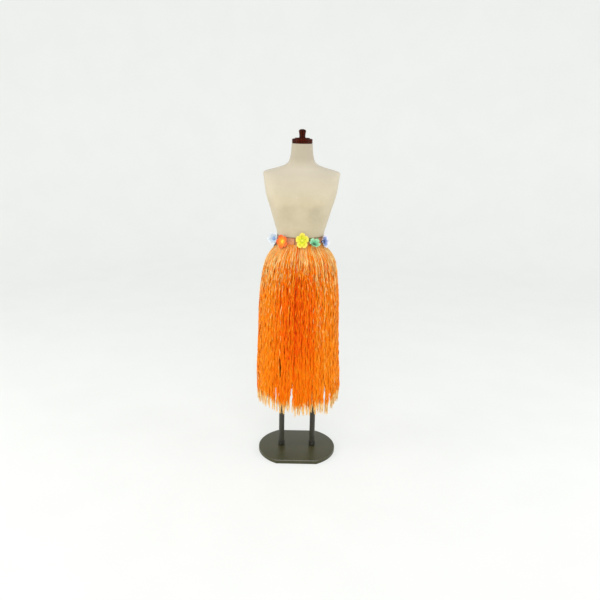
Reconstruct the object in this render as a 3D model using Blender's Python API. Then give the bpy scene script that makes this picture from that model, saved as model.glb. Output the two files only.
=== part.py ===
"""Grass skirt worn on a limbless dress form that stands on two posts and a flat base.

Units are metres, +Z is up, the front faces -Y, and the origin is the middle of the base's underside.
Angles round the body are degrees from the front, positive towards +X.
"""

import math
import random
from collections import namedtuple

import bmesh
import bpy
from mathutils import Matrix, Vector

# Driving sizes of the stand
BASE_RADIUS = 0.1885
BASE_HALF_DEPTH = 0.162
BASE_THICKNESS = 0.0185
BASE_EDGE_ROUND = 0.0034
BASE_ARC_STEPS = 18
POST_RADIUS = 0.0132
POST_HALF_SPACING = 0.076
COLLAR_RADIUS = 0.0155
COLLAR_HEIGHT = 0.026
COLLAR_EDGE_ROUND = 0.0012
SCREW_RADIUS = 0.0046
SCREW_LENGTH = 0.003
SCREW_SIDES = 12

# Driving sizes of the skirt
WAIST = 1.0700
BAND_BOTTOM = 1.0503
BAND_TOP = 1.0863
BAND_WALL = 0.0018
BAND_GATHERS = 32
BAND_GATHER_DEPTH = 0.0005
BAND_RIB_HEIGHT = 0.005
BAND_RIB_RISE = 0.0007
STRIP_TOP = 1.0500
STRIP_BOTTOM = 1.0370
STRIP_WALL = 0.0022
HEM_LOWEST = 0.250
HEM_RAGGEDNESS = 0.042
SECTORS = 12
OUTER_LOCKS_PER_SECTOR = 10
INNER_LOCKS_PER_SECTOR = 8
WIDEST_LOCK = 1.05
OUTER_SEED = 100
INNER_SEED = 500

SEAM_GAP = 0.0003
BODY_CLEARANCE = 0.0006
TORSO_POINTS = 40
ROUND_SIDES = 24
KNOB_SIDES = 20

Section = namedtuple("Section", "z half_width half_depth centre_y squareness")

# The dress form from its flat underside to the top of its neck
TORSO = [
    Section(0.8000, 0.1500, 0.0980, 0.0060, 2.20),
    Section(0.8120, 0.1580, 0.1040, 0.0070, 2.20),
    Section(0.8400, 0.1645, 0.1100, 0.0080, 2.20),
    Section(0.8750, 0.1660, 0.1130, 0.0090, 2.20),
    Section(0.9150, 0.1610, 0.1110, 0.0080, 2.20),
    Section(0.9550, 0.1480, 0.1040, 0.0050, 2.15),
    Section(0.9950, 0.1290, 0.0950, 0.0030, 2.10),
    Section(1.0300, 0.1120, 0.0870, 0.0010, 2.10),
    Section(1.0500, 0.1066, 0.0842, 0.0000, 2.10),
    Section(WAIST, 0.1051, 0.0830, 0.0000, 2.10),
    Section(1.0950, 0.1075, 0.0846, 0.0000, 2.10),
    Section(1.1350, 0.1183, 0.0912, 0.0000, 2.10),
    Section(1.1750, 0.1305, 0.1000, -0.0010, 2.15),
    Section(1.2050, 0.1388, 0.1050, -0.0020, 2.20),
    Section(1.2350, 0.1485, 0.1085, -0.0020, 2.30),
    Section(1.2650, 0.1575, 0.1085, 0.0010, 2.50),
    Section(1.2980, 0.1642, 0.1030, 0.0050, 2.70),
    Section(1.3260, 0.1685, 0.0935, 0.0090, 2.75),
    Section(1.3490, 0.1721, 0.0825, 0.0120, 2.50),
    Section(1.3660, 0.1745, 0.0710, 0.0130, 2.00),
    Section(1.3750, 0.1630, 0.0660, 0.0120, 1.70),
    Section(1.3840, 0.1320, 0.0620, 0.0110, 1.60),
    Section(1.3940, 0.0975, 0.0580, 0.0100, 1.70),
    Section(1.4040, 0.0730, 0.0540, 0.0090, 1.90),
    Section(1.4160, 0.0600, 0.0500, 0.0085, 2.00),
    Section(1.4350, 0.0532, 0.0485, 0.0080, 2.00),
    Section(1.4620, 0.0490, 0.0470, 0.0075, 2.00),
    Section(1.4962, 0.0466, 0.0460, 0.0075, 2.00),
]

# The outside of the hanging grass, from the hem to the waistband
SKIRT = [
    Section(0.2400, 0.2070, 0.1570, 0.0060, 2.05),
    Section(0.3500, 0.2050, 0.1550, 0.0060, 2.05),
    Section(0.4700, 0.1985, 0.1510, 0.0060, 2.05),
    Section(0.6000, 0.1935, 0.1480, 0.0060, 2.05),
    Section(0.7000, 0.1915, 0.1460, 0.0060, 2.05),
    Section(0.8000, 0.1875, 0.1430, 0.0060, 2.10),
    Section(0.8500, 0.1830, 0.1400, 0.0060, 2.10),
    Section(0.9000, 0.1775, 0.1360, 0.0050, 2.10),
    Section(0.9350, 0.1725, 0.1310, 0.0040, 2.10),
    Section(0.9700, 0.1645, 0.1235, 0.0030, 2.10),
    Section(1.0050, 0.1455, 0.1105, 0.0020, 2.10),
    Section(1.0300, 0.1235, 0.0975, 0.0010, 2.10),
    Section(1.0500, 0.1140, 0.0908, 0.0000, 2.10),
]

# Bust of the form: one rounded rise on each side
BUST_X = 0.070
BUST_Z = 1.238
BUST_SPREAD_X = 0.052
BUST_SPREAD_Z = 0.048
BUST_HEIGHT = 0.018
BUST_FADES_BELOW = 0.6

# Heights at which every lock has a ring, below its root, and how much of its share of the round it fills
Ring = namedtuple("Ring", "z fill thickness inner_depth")
LOCK_RINGS = [
    Ring(STRIP_BOTTOM, 0.80, STRIP_WALL, 0.0025),
    Ring(1.0080, 0.84, 0.0024, 0.0050),
    Ring(0.9650, 0.85, 0.0025, 0.0062),
    Ring(0.8900, 0.85, 0.0026, 0.0064),
    Ring(0.7600, 0.84, 0.0026, 0.0068),
    Ring(0.5400, 0.82, 0.0026, 0.0070),
    Ring(0.3450, 0.66, 0.0025, 0.0072),
]

# Places near the hem where the grass parts: where, from what height down, and how wide at the hem
Parting = namedtuple("Parting", "angle top width")
PARTINGS = [
    Parting(-26.0, 0.620, 0.010),
    Parting(-8.5, 0.480, 0.009),
    Parting(38.5, 0.500, 0.011),
    Parting(50.0, 0.460, 0.009),
    Parting(128.0, 0.580, 0.010),
    Parting(-112.0, 0.560, 0.010),
    Parting(176.0, 0.540, 0.009),
]
PARTING_SPREAD = 0.035

# The slow sideways sway that all locks share, and how far a single lock's point strays
SWAY = 0.0026
SWAY_WAVELENGTH = 0.33
SWAY_FULL_BELOW = 0.30
TIP_DRIFT = 0.0012
TIP_MOST_SIDEWAYS = 0.004
TIP_STRAY = 0.0035
INNER_TIP_RISE = 0.012

# Flowers sewn to the waistband. A flower's face is tilted up and yawed towards +X, tall is its height
# over its width, and the cup is how far its petals rise
Flower = namedtuple("Flower", "name angle height radius tall cup tilt yaw turn stem")
FLOWERS = [
    Flower("blue_left", -84.0, 1.067, 0.0290, 1.00, 0.020, 10.0, 48.0, 20.0, 0.0110),
    Flower("orange", -42.0, 1.065, 0.0310, 1.05, 0.012, 6.0, 0.0, 8.0, 0.0080),
    Flower("yellow", 3.5, 1.0755, 0.0305, 1.20, 0.013, 6.0, 0.0, -18.0, 0.0060),
    Flower("green", 32.0, 1.055, 0.0265, 1.00, 0.018, 46.0, 0.0, 0.0, 0.0110),
    Flower("blue_right", 64.0, 1.063, 0.0305, 1.00, 0.016, 8.0, 0.0, 12.0, 0.0080),
]
PETALS = 5
POINTS_PER_PETAL = 6
PETAL_WALL = 0.0013
PETAL_ROUNDNESS = 0.55
CLEFT_SHARE = 0.52
CUP_POWER = 1.6
FOLD_SHARE = 0.62
CENTRE_RADIUS = 0.0062
CENTRE_HEIGHT = 0.0050
CENTRE_ROWS = [(1.0, 0.0), (0.85, 0.55), (0.4, 0.95)]
CENTRE_SIDES = 10
STEM_RADIUS = 0.0042

# Leaves tucked beside the flowers: roll turns the blade round the outward direction, from straight down
Leaf = namedtuple("Leaf", "name angle height length width roll lift")
LEAVES = [
    Leaf("left", -68.0, 1.061, 0.029, 0.0125, -6.0, 36.0),
    Leaf("middle", 16.0, 1.069, 0.025, 0.0120, 140.0, 16.0),
    Leaf("right", 42.0, 1.069, 0.022, 0.0115, 180.0, 20.0),
]
LEAF_WALL = 0.0010
LEAF_FOLD = 0.25
# Share of a leaf's length from its root, and of its width there
LEAF_OUTLINE = [(0.0, 0.30), (0.25, 0.85), (0.50, 1.0), (0.78, 0.62), (1.0, 0.06)]

# Turned neck cap and knob: radius and height above the piece's own bottom
CAP_PROFILE = [
    (0.0440, 0.0000),
    (0.0458, 0.0018),
    (0.0458, 0.0173),
    (0.0440, 0.0199),
    (0.0345, 0.0205),
    (0.0340, 0.0231),
    (0.0320, 0.0241),
]
KNOB_PROFILE = [
    (0.0148, 0.0000),
    (0.0137, 0.0030),
    (0.0136, 0.0120),
    (0.0148, 0.0200),
    (0.0161, 0.0262),
    (0.0160, 0.0305),
    (0.0132, 0.0348),
    (0.0066, 0.0372),
]

COLOURS = {
    "form_cloth": ((0.74, 0.67, 0.54), 0.85, 0.0),
    "turned_wood": ((0.13, 0.025, 0.015), 0.30, 0.0),
    "stand_metal": ((0.085, 0.080, 0.062), 0.45, 0.4),
    "band": ((0.80, 0.30, 0.12), 0.70, 0.0),
    "grass": ((0.95, 0.28, 0.02), 0.40, 0.0),
    "leaf": ((0.10, 0.16, 0.05), 0.60, 0.0),
    "petals_blue_left": ((0.62, 0.74, 0.88), 0.70, 0.0),
    "petals_orange": ((0.86, 0.30, 0.03), 0.70, 0.0),
    "petals_yellow": ((0.90, 0.87, 0.12), 0.70, 0.0),
    "petals_green": ((0.55, 0.87, 0.62), 0.70, 0.0),
    "petals_blue_right": ((0.36, 0.56, 0.84), 0.70, 0.0),
    "centre_blue_left": ((0.20, 0.33, 0.60), 0.75, 0.0),
    "centre_orange": ((0.98, 0.66, 0.06), 0.75, 0.0),
    "centre_yellow": ((0.84, 0.84, 0.10), 0.75, 0.0),
    "centre_green": ((0.12, 0.42, 0.22), 0.75, 0.0),
    "centre_blue_right": ((0.05, 0.12, 0.38), 0.75, 0.0),
}


def clear_scene():
    for obj in list(bpy.data.objects):
        bpy.data.objects.remove(obj)


def material(name):
    made = bpy.data.materials.get(name)
    if made is None:
        colour, roughness, metallic = COLOURS[name]
        made = bpy.data.materials.new(name)
        made.use_nodes = True
        shader = made.node_tree.nodes["Principled BSDF"]
        shader.inputs["Base Color"].default_value = (*colour, 1.0)
        shader.inputs["Roughness"].default_value = roughness
        shader.inputs["Metallic"].default_value = metallic
    return made


def add_object(name, mesh_maker, finish, smooth_angle=None):
    """Makes one closed, outward-facing object from the bmesh that mesh_maker fills."""
    mesh = bpy.data.meshes.new(name)
    work = bmesh.new()
    mesh_maker(work)
    bmesh.ops.recalc_face_normals(work, faces=work.faces)
    if work.calc_volume(signed=True) < 0.0:
        bmesh.ops.reverse_faces(work, faces=work.faces)
    work.to_mesh(mesh)
    work.free()
    mesh.materials.append(finish)
    if smooth_angle is not None:
        mesh.shade_smooth()
        mesh.set_sharp_from_angle(angle=math.radians(smooth_angle))
    obj = bpy.data.objects.new(name, mesh)
    bpy.context.scene.collection.objects.link(obj)
    return obj


def add_loops(work, loops, closed_section=False):
    """Joins equal rings of points with quads. The section is closed on itself, or capped at both ends."""
    rings = [[work.verts.new(point) for point in loop] for loop in loops]
    pairs = list(zip(rings, rings[1:]))
    if closed_section:
        pairs.append((rings[-1], rings[0]))
    for low, high in pairs:
        for i in range(len(low)):
            j = (i + 1) % len(low)
            work.faces.new((low[i], low[j], high[j], high[i]))
    if not closed_section:
        work.faces.new(rings[0])
        work.faces.new(rings[-1])


def between(table, z):
    """The section of a table at height z, in straight steps from one row to the next."""
    if z <= table[0].z:
        return table[0]
    for low, high in zip(table, table[1:]):
        if z <= high.z:
            share = (z - low.z) / (high.z - low.z)
            return Section(*(a + (b - a) * share for a, b in zip(low, high)))
    return table[-1]


def power(value, exponent):
    return math.copysign(abs(value) ** exponent, value)


def section_point(section, angle, outward=0.0):
    """A point on a section at an angle in radians from the front, moved outward in plan."""
    exponent = 2.0 / section.squareness
    x = section.half_width * power(math.sin(angle), exponent)
    y = -section.half_depth * power(math.cos(angle), exponent)
    place = Vector((x, y + section.centre_y, section.z))
    return place + section_normal(section, x, y) * outward


def section_normal(section, x, y):
    """The outward direction, in plan, at a point on a section."""
    across, along = section.half_width, section.half_depth
    steepness = section.squareness - 1.0
    slope_x = power(x / across, steepness) / across
    slope_y = power(y / along, steepness) / along
    return Vector((slope_x, slope_y, 0.0)).normalized()


class Round:
    """Even steps along the round of the skirt, so that locks are equally far apart at hip height."""

    STEPS = 720
    MEASURED_AT = 0.80

    def __init__(self):
        section = between(SKIRT, self.MEASURED_AT)
        turns = [2.0 * math.pi * i / self.STEPS - math.pi for i in range(self.STEPS + 1)]
        points = [section_point(section, turn) for turn in turns]
        self.turns = turns
        self.along = [0.0]
        for a, b in zip(points, points[1:]):
            self.along.append(self.along[-1] + (b - a).length)
        self.length = self.along[-1]

    def angle_at(self, distance):
        """The angle, in radians from the front, at a distance from the middle of the back."""
        laps = math.floor(distance / self.length)
        rest = distance - laps * self.length
        low, high = 0, self.STEPS
        while high - low > 1:
            middle = (low + high) // 2
            if self.along[middle] <= rest:
                low = middle
            else:
                high = middle
        share = (rest - self.along[low]) / (self.along[high] - self.along[low])
        return self.turns[low] + (self.turns[high] - self.turns[low]) * share

    def distance_of(self, degrees_from_front):
        turn = math.radians(degrees_from_front)
        place = (turn + math.pi) / (2.0 * math.pi) * self.STEPS
        low = min(int(place), self.STEPS - 1)
        return self.along[low] + (self.along[low + 1] - self.along[low]) * (place - low)


def torso_mesh(work):
    """The dress form, smooth and whole, with a flat underside and a flat neck top."""
    loops = []
    for section in TORSO:
        loop = []
        for i in range(TORSO_POINTS):
            point = section_point(section, 2.0 * math.pi * i / TORSO_POINTS)
            point.y -= bust_rise(point, section)
            loop.append(point)
        loops.append(loop)
    add_loops(work, loops)


def bust_rise(point, section):
    if point.y > section.centre_y:
        return 0.0
    across = (abs(point.x) - BUST_X) / BUST_SPREAD_X
    up = (point.z - BUST_Z) / BUST_SPREAD_Z
    frontness = min(1.0, (section.centre_y - point.y) / section.half_depth / BUST_FADES_BELOW)
    return BUST_HEIGHT * math.exp(-(across**2) - up**2) * frontness


def circle(radius, sides, start=0.0):
    turns = [start + 2.0 * math.pi * i / sides for i in range(sides)]
    return [(radius * math.cos(turn), radius * math.sin(turn)) for turn in turns]


def turned_mesh(profile, bottom, centre_y=0.0, centre_x=0.0, sides=ROUND_SIDES):
    """A turned solid from (radius, height) rows, standing on the height given."""

    def fill(work):
        loops = []
        for radius, height in profile:
            ring = circle(radius, sides)
            loops.append([(centre_x + x, centre_y + y, bottom + height) for x, y in ring])
        add_loops(work, loops)

    return fill


def base_outline(inset):
    """A disc cut straight across at the front and at the back."""
    radius = BASE_RADIUS - inset
    half_depth = BASE_HALF_DEPTH - inset
    half_sweep = math.asin(half_depth / radius)
    points = []
    for middle in (0.0, math.pi):
        for i in range(BASE_ARC_STEPS + 1):
            turn = middle - half_sweep + 2.0 * half_sweep * i / BASE_ARC_STEPS
            points.append((radius * math.cos(turn), radius * math.sin(turn)))
    return points


def base_mesh(work):
    edge = BASE_EDGE_ROUND
    rows = [
        (edge * 0.5, 0.0),
        (0.0, edge * 0.5),
        (0.0, BASE_THICKNESS - edge),
        (edge * 0.3, BASE_THICKNESS - edge * 0.3),
        (edge, BASE_THICKNESS),
    ]
    add_loops(work, [[(x, y, z) for x, y in base_outline(inset)] for inset, z in rows])


def collar_mesh(centre_x):
    """A plain sleeve round the foot of a post, with its edges broken."""
    inner = POST_RADIUS + SEAM_GAP
    low = BASE_THICKNESS + SEAM_GAP
    high = low + COLLAR_HEIGHT
    section = [
        (inner, low),
        (COLLAR_RADIUS, low),
        (COLLAR_RADIUS, high - COLLAR_EDGE_ROUND),
        (COLLAR_RADIUS - COLLAR_EDGE_ROUND, high),
        (inner, high),
    ]

    def fill(work):
        loops = []
        for radius, z in section:
            loops.append([(centre_x + x, y, z) for x, y in circle(radius, ROUND_SIDES)])
        add_loops(work, loops, closed_section=True)

    return fill


def screw_mesh(centre_x):
    """The head of the set screw on the front of a collar."""
    back = -(COLLAR_RADIUS + SEAM_GAP)
    height = BASE_THICKNESS + COLLAR_HEIGHT * 0.5
    rows = [
        (SCREW_RADIUS, back),
        (SCREW_RADIUS, back - SCREW_LENGTH * 0.6),
        (SCREW_RADIUS * 0.7, back - SCREW_LENGTH),
    ]

    def fill(work):
        loops = []
        for radius, y in rows:
            loops.append([(centre_x + x, y, height + z) for x, z in circle(radius, SCREW_SIDES)])
        add_loops(work, loops)

    return fill


def band_mesh(work):
    """The elastic waistband: a gathered outer face with a firm upper edge over a plain inside."""
    points = 2 * BAND_GATHERS
    rows = [
        (BAND_BOTTOM, BAND_WALL, 1.0),
        (WAIST, BAND_WALL, 1.0),
        (BAND_TOP - BAND_RIB_HEIGHT * 1.4, BAND_WALL, 1.0),
        (BAND_TOP - BAND_RIB_HEIGHT, BAND_WALL + BAND_RIB_RISE, 0.0),
        (BAND_TOP, BAND_WALL, 0.0),
        (BAND_TOP, 0.0, 0.0),
        (WAIST, 0.0, 0.0),
        (BAND_BOTTOM, 0.0, 0.0),
    ]
    loops = []
    for z, wall, gathered in rows:
        section = between(TORSO, z)
        loop = []
        for i in range(points):
            gather = BAND_GATHER_DEPTH * gathered * (i % 2)
            outward = BODY_CLEARANCE + wall - gather
            loop.append(section_point(section, 2.0 * math.pi * i / points, outward))
        loops.append(loop)
    add_loops(work, loops, closed_section=True)


Habit = namedtuple("Habit", "shortness side drift stray ridge")


class Layer:
    """One of the two layers of grass: its locks, where they hang and where they end."""

    def __init__(self, name, per_sector, is_inner, seed, round_of_skirt):
        self.name = name
        self.per_sector = per_sector
        self.count = per_sector * SECTORS
        self.is_inner = is_inner
        self.habits = self.draw_habits(random.Random(seed))
        self.round = round_of_skirt
        self.cell = round_of_skirt.length / self.count
        self.partings = [
            (p, round(round_of_skirt.distance_of(p.angle) / self.cell) * self.cell) for p in PARTINGS
        ]

    def draw_habits(self, draw):
        """What makes each lock a little unlike its neighbours."""
        return [
            Habit(
                shortness=draw.random(),
                side=draw.choice((-1.0, 1.0)),
                drift=draw.uniform(-1.0, 1.0),
                stray=draw.uniform(-1.0, 1.0),
                ridge=draw.uniform(-0.15, 0.15),
            )
            for _ in range(self.count)
        ]

    def moved(self, distance, side, z):
        """Where a lock's edge hangs at height z: a shared sway, and the partings pushing it aside."""
        shift = self.sway(distance, z)
        for parting, place in self.partings:
            if z >= parting.top:
                continue
            gone = min(1.0, (parting.top - z) / (parting.top - HEM_LOWEST))
            away = distance - place
            away -= self.round.length * round(away / self.round.length)
            direction = math.copysign(1.0, away) if abs(away) > self.cell * 0.1 else side
            strength = parting.width * gone * math.exp(-abs(away) / PARTING_SPREAD)
            shift += direction * strength
        return distance + shift

    def sway(self, distance, z):
        turn = 2.0 * math.pi * distance / self.round.length
        fall = min(1.0, (STRIP_BOTTOM - z) / SWAY_FULL_BELOW)
        return SWAY * fall * math.sin(2.0 * math.pi * z / SWAY_WAVELENGTH + 3.0 * math.sin(2.0 * turn))

    def depth(self, ring):
        """How far inside the skirt's outer face this layer's own outer face lies."""
        return ring.inner_depth if self.is_inner else 0.0

    def lock_edges(self, index, ring):
        """The two edges of a lock at a ring, as distances along the round."""
        left = self.moved(index * self.cell, 1.0, ring.z)
        right = self.moved((index + 1) * self.cell, -1.0, ring.z)
        half = 0.5 * ring.fill * min(right - left, self.cell * WIDEST_LOCK)
        middle = 0.5 * (left + right)
        return middle - half, middle + half

    def tip(self, index):
        """The pointed end of a lock: a little higher, and further out or in, than its neighbours'."""
        habit = self.habits[index]
        lowest = LOCK_RINGS[-1]
        left, right = self.lock_edges(index, lowest)
        middle = 0.5 * (left + right)
        z = HEM_LOWEST + HEM_RAGGEDNESS * habit.shortness + (INNER_TIP_RISE if self.is_inner else 0.0)
        sideways = self.moved(middle, habit.side, z) - middle
        sideways = min(max(sideways, -TIP_MOST_SIDEWAYS), TIP_MOST_SIDEWAYS) + TIP_DRIFT * habit.drift
        section = between(SKIRT, z)
        inward = self.depth(lowest) + lowest.thickness * 0.5
        outward = TIP_STRAY * habit.stray - inward
        return section_point(section, self.round.angle_at(middle + sideways), outward)

    def lock_ring(self, index, ring):
        """Three points of a lock at a ring: two at its flat back and one on its outer ridge."""
        left, right = self.lock_edges(index, ring)
        section = between(SKIRT, ring.z)
        outer = -self.depth(ring)
        back = outer - ring.thickness
        ridge_at = 0.5 * (left + right) + (right - left) * self.habits[index].ridge
        return (
            section_point(section, self.round.angle_at(left), back),
            section_point(section, self.round.angle_at(right), back),
            section_point(section, self.round.angle_at(ridge_at), outer),
        )


def strip_points(layer, distance, z):
    """The outer and the inner point of a layer's backing strip."""
    section = between(SKIRT, z)
    outer = -layer.depth(LOCK_RINGS[0])
    angle = layer.round.angle_at(distance)
    return section_point(section, angle, outer), section_point(section, angle, outer - STRIP_WALL)


def fringe_mesh(layer, sector):
    """One length of backing strip with the locks of grass that grow out of its lower edge."""
    first = sector * layer.per_sector
    last = first + layer.per_sector
    margin = SEAM_GAP * 0.5

    def fill(work):
        def pair(distance, z):
            return [work.verts.new(point) for point in strip_points(layer, distance, z)]

        def boundary(index):
            inset = margin if index == first else -margin if index == last else 0.0
            return index * layer.cell + inset

        tops = [pair(boundary(i), STRIP_TOP) for i in range(first, last + 1)]
        ends = [pair(boundary(i), STRIP_BOTTOM) for i in (first, last)]
        roots = []
        for index in range(first, last):
            left, right = layer.lock_edges(index, LOCK_RINGS[0])
            roots.append((pair(left, STRIP_BOTTOM), pair(right, STRIP_BOTTOM)))
        join_strip(work, tops, ends, roots)
        for index, (left, right) in zip(range(first, last), roots):
            hang_lock(work, layer, index, left, right)

    return fill


def join_strip(work, tops, ends, roots):
    """The faces of a strip. The gaps between roots are its only faces underneath."""
    lower = [ends[0]] + [corner for root in roots for corner in root] + [ends[1]]
    gaps = list(zip(lower[0::2], lower[1::2]))
    for (outer_a, inner_a), (outer_b, inner_b) in gaps:
        work.faces.new((outer_a, outer_b, inner_b, inner_a))
    for (outer_a, inner_a), (outer_b, inner_b) in zip(tops, tops[1:]):
        work.faces.new((outer_a, outer_b, inner_b, inner_a))
    for (top_outer, top_inner), (low_outer, low_inner) in ((tops[0], ends[0]), (tops[-1], ends[1])):
        work.faces.new((top_outer, top_inner, low_inner, low_outer))
    for side in (0, 1):
        for i, (left, right) in enumerate(roots):
            work.faces.new((tops[i][side], tops[i + 1][side], right[side], left[side]))
        for i, (a, b) in enumerate(gaps):
            work.faces.new((tops[i][side], b[side], a[side]))


def hang_lock(work, layer, index, left, right):
    """A lock from its four root corners down through three-sided rings to its point."""
    (left_outer, left_inner), (right_outer, right_inner) = left, right
    ring = [work.verts.new(p) for p in layer.lock_ring(index, LOCK_RINGS[1])]
    back_left, back_right, ridge = ring
    work.faces.new((left_inner, right_inner, back_right, back_left))
    work.faces.new((left_outer, left_inner, back_left, ridge))
    work.faces.new((right_inner, right_outer, ridge, back_right))
    work.faces.new((left_outer, ridge, right_outer))
    for level in LOCK_RINGS[2:]:
        below = [work.verts.new(p) for p in layer.lock_ring(index, level)]
        for i in range(3):
            j = (i + 1) % 3
            work.faces.new((ring[i], ring[j], below[j], below[i]))
        ring = below
    point = work.verts.new(layer.tip(index))
    for i in range(3):
        work.faces.new((ring[i], ring[(i + 1) % 3], point))


def band_place(angle_degrees, height):
    """A frame just off the waistband's outer face: local +Y runs up it and +Z points away from it."""
    angle = math.radians(angle_degrees)
    outward = BODY_CLEARANCE + BAND_WALL + SEAM_GAP
    rises = (-STEM_RADIUS, 0.0, STEM_RADIUS)
    low, place, high = (section_point(between(TORSO, height + r), angle, outward) for r in rises)
    up = (high - low).normalized()
    side = up.cross(section_normal(between(TORSO, height), place.x, place.y)).normalized()
    return Matrix.Translation(place) @ Matrix((side, up, side.cross(up))).transposed().to_4x4()


def flower_face(flower):
    """Where a flower's petals meet: the end of its stem, turned the way its face looks."""
    yaw = Matrix.Rotation(math.radians(flower.yaw), 4, "Y")
    tilt = Matrix.Rotation(math.radians(-flower.tilt), 4, "X")
    return band_place(flower.angle, flower.height) @ Matrix.Translation((0.0, 0.0, flower.stem)) @ yaw @ tilt


def petal_reach(turn):
    """How far the flower's edge reaches, from its clefts to the tips of its petals."""
    within = (turn * PETALS / (2.0 * math.pi)) % 1.0
    bulge = math.sin(math.pi * within) ** PETAL_ROUNDNESS
    return CLEFT_SHARE + (1.0 - CLEFT_SHARE) * bulge


def flower_ring(flower, share, lift):
    """A ring of points round the flower's petals, some share of the way out to their edge."""
    points = PETALS * POINTS_PER_PETAL
    ring = []
    for i in range(points):
        turn = 2.0 * math.pi * i / points
        reach = share * petal_reach(turn)
        angle = turn + math.radians(flower.turn)
        x = flower.radius * reach * math.cos(angle)
        y = flower.radius * flower.tall * reach * math.sin(angle)
        ring.append(Vector((x, y, flower.cup * reach**CUP_POWER + lift)))
    return ring


def flower_mesh(flower):
    """A cupped, five-petalled cloth flower with the short stem that is sewn to the band."""
    face = flower_face(flower)
    band = band_place(flower.angle, flower.height)
    stem_sides = PETALS * POINTS_PER_PETAL // 3

    stem = circle(STEM_RADIUS, stem_sides, math.radians(flower.turn))

    def fill(work):
        rows = ((FOLD_SHARE, 0.0), (1.0, 0.0), (1.0, PETAL_WALL), (FOLD_SHARE, PETAL_WALL))
        loops = [[work.verts.new(face @ p) for p in flower_ring(flower, *row)] for row in rows]
        points = len(loops[0])
        for low, high in zip(loops, loops[1:]):
            for i in range(points):
                j = (i + 1) % points
                work.faces.new((low[i], low[j], high[j], high[i]))
        middle = work.verts.new(face @ Vector((0.0, 0.0, PETAL_WALL)))
        for i in range(points):
            work.faces.new((loops[-1][i], loops[-1][(i + 1) % points], middle))
        foot = [work.verts.new(band @ Vector((x, y, 0.0))) for x, y in stem]
        neck = [work.verts.new(face @ Vector((x, y, 0.0))) for x, y in stem]
        work.faces.new(foot)
        for i in range(stem_sides):
            j = (i + 1) % stem_sides
            work.faces.new((foot[i], foot[j], neck[j], neck[i]))
            outer = [loops[0][(3 * i + k) % points] for k in range(4)]
            work.faces.new((neck[i], neck[j], outer[3], outer[2], outer[1], outer[0]))
        bmesh.ops.triangulate(work, faces=[f for f in work.faces if len(f.verts) > 4])

    return fill


def flower_centre_mesh(flower):
    """The small domed middle of a flower."""
    slope = flower.cup / flower.radius * FOLD_SHARE ** (CUP_POWER - 1.0)
    clear = PETAL_WALL + slope * CENTRE_RADIUS + SEAM_GAP
    face = flower_face(flower)

    def fill(work):
        loops = []
        for share, height in CENTRE_ROWS:
            z = clear + CENTRE_HEIGHT * height
            ring = circle(CENTRE_RADIUS * share, CENTRE_SIDES)
            loops.append([face @ Vector((x, y, z)) for x, y in ring])
        add_loops(work, loops)

    return fill


def leaf_mesh(leaf):
    """A pointed leaf, folded along its middle, that starts at the band and lifts away from it."""
    place = band_place(leaf.angle, leaf.height)
    roll = Matrix.Rotation(math.radians(leaf.roll), 4, "Z")
    lift = math.tan(math.radians(leaf.lift))

    def fill(work):
        loops = []
        for share, width in LEAF_OUTLINE:
            y = -leaf.length * share
            half = 0.5 * leaf.width * width
            z = leaf.length * share * lift
            fold = LEAF_FOLD * half
            loops.append(
                [
                    (-half, y, z + fold),
                    (0.0, y, z),
                    (half, y, z + fold),
                    (half, y, z + fold + LEAF_WALL),
                    (0.0, y, z + LEAF_WALL),
                    (-half, y, z + fold + LEAF_WALL),
                ]
            )
        add_loops(work, loops)
        work.transform(place @ roll)

    return fill


def build_stand():
    metal = material("stand_metal")
    wood = material("turned_wood")
    add_object("base_plate", base_mesh, metal, 30.0)
    post_bottom = BASE_THICKNESS + SEAM_GAP
    post_height = TORSO[0].z - SEAM_GAP - post_bottom
    for side, x in (("left", -POST_HALF_SPACING), ("right", POST_HALF_SPACING)):
        post = [(POST_RADIUS, 0.0), (POST_RADIUS, post_height)]
        add_object(f"post_{side}", turned_mesh(post, post_bottom, centre_x=x), metal, 40.0)
        add_object(f"post_collar_{side}", collar_mesh(x), metal, 40.0)
        add_object(f"collar_screw_{side}", screw_mesh(x), metal, 40.0)
    neck = TORSO[-1]
    cap_bottom = neck.z + SEAM_GAP
    knob_bottom = cap_bottom + CAP_PROFILE[-1][1] + SEAM_GAP
    add_object("form_torso", torso_mesh, material("form_cloth"), 60.0)
    add_object("neck_cap", turned_mesh(CAP_PROFILE, cap_bottom, neck.centre_y), wood, 40.0)
    knob = turned_mesh(KNOB_PROFILE, knob_bottom, neck.centre_y, sides=KNOB_SIDES)
    add_object("neck_knob", knob, wood, 40.0)


def build_skirt():
    grass = material("grass")
    add_object("waistband", band_mesh, material("band"), 60.0)
    round_of_skirt = Round()
    layers = (
        Layer("outer", OUTER_LOCKS_PER_SECTOR, False, OUTER_SEED, round_of_skirt),
        Layer("inner", INNER_LOCKS_PER_SECTOR, True, INNER_SEED, round_of_skirt),
    )
    for layer in layers:
        for sector in range(SECTORS):
            add_object(f"grass_{layer.name}_{sector + 1:02d}", fringe_mesh(layer, sector), grass)


def build_flowers():
    for flower in FLOWERS:
        petals = material(f"petals_{flower.name}")
        middle = material(f"centre_{flower.name}")
        add_object(f"flower_{flower.name}", flower_mesh(flower), petals, 50.0)
        add_object(f"flower_{flower.name}_centre", flower_centre_mesh(flower), middle, 50.0)
    for leaf in LEAVES:
        add_object(f"leaf_{leaf.name}", leaf_mesh(leaf), material("leaf"))


clear_scene()
build_stand()
build_skirt()
build_flowers()
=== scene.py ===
"""The looks of the grass skirt on its dress form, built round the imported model.

Units are metres, +Z is up and the front faces -Y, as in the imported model. Angles round the body
are degrees from the front, positive towards +X, and turns are the same angles in radians.
"""

import math
from collections import namedtuple

import bpy
import numpy as np
from mathutils import Matrix, Vector


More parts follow.
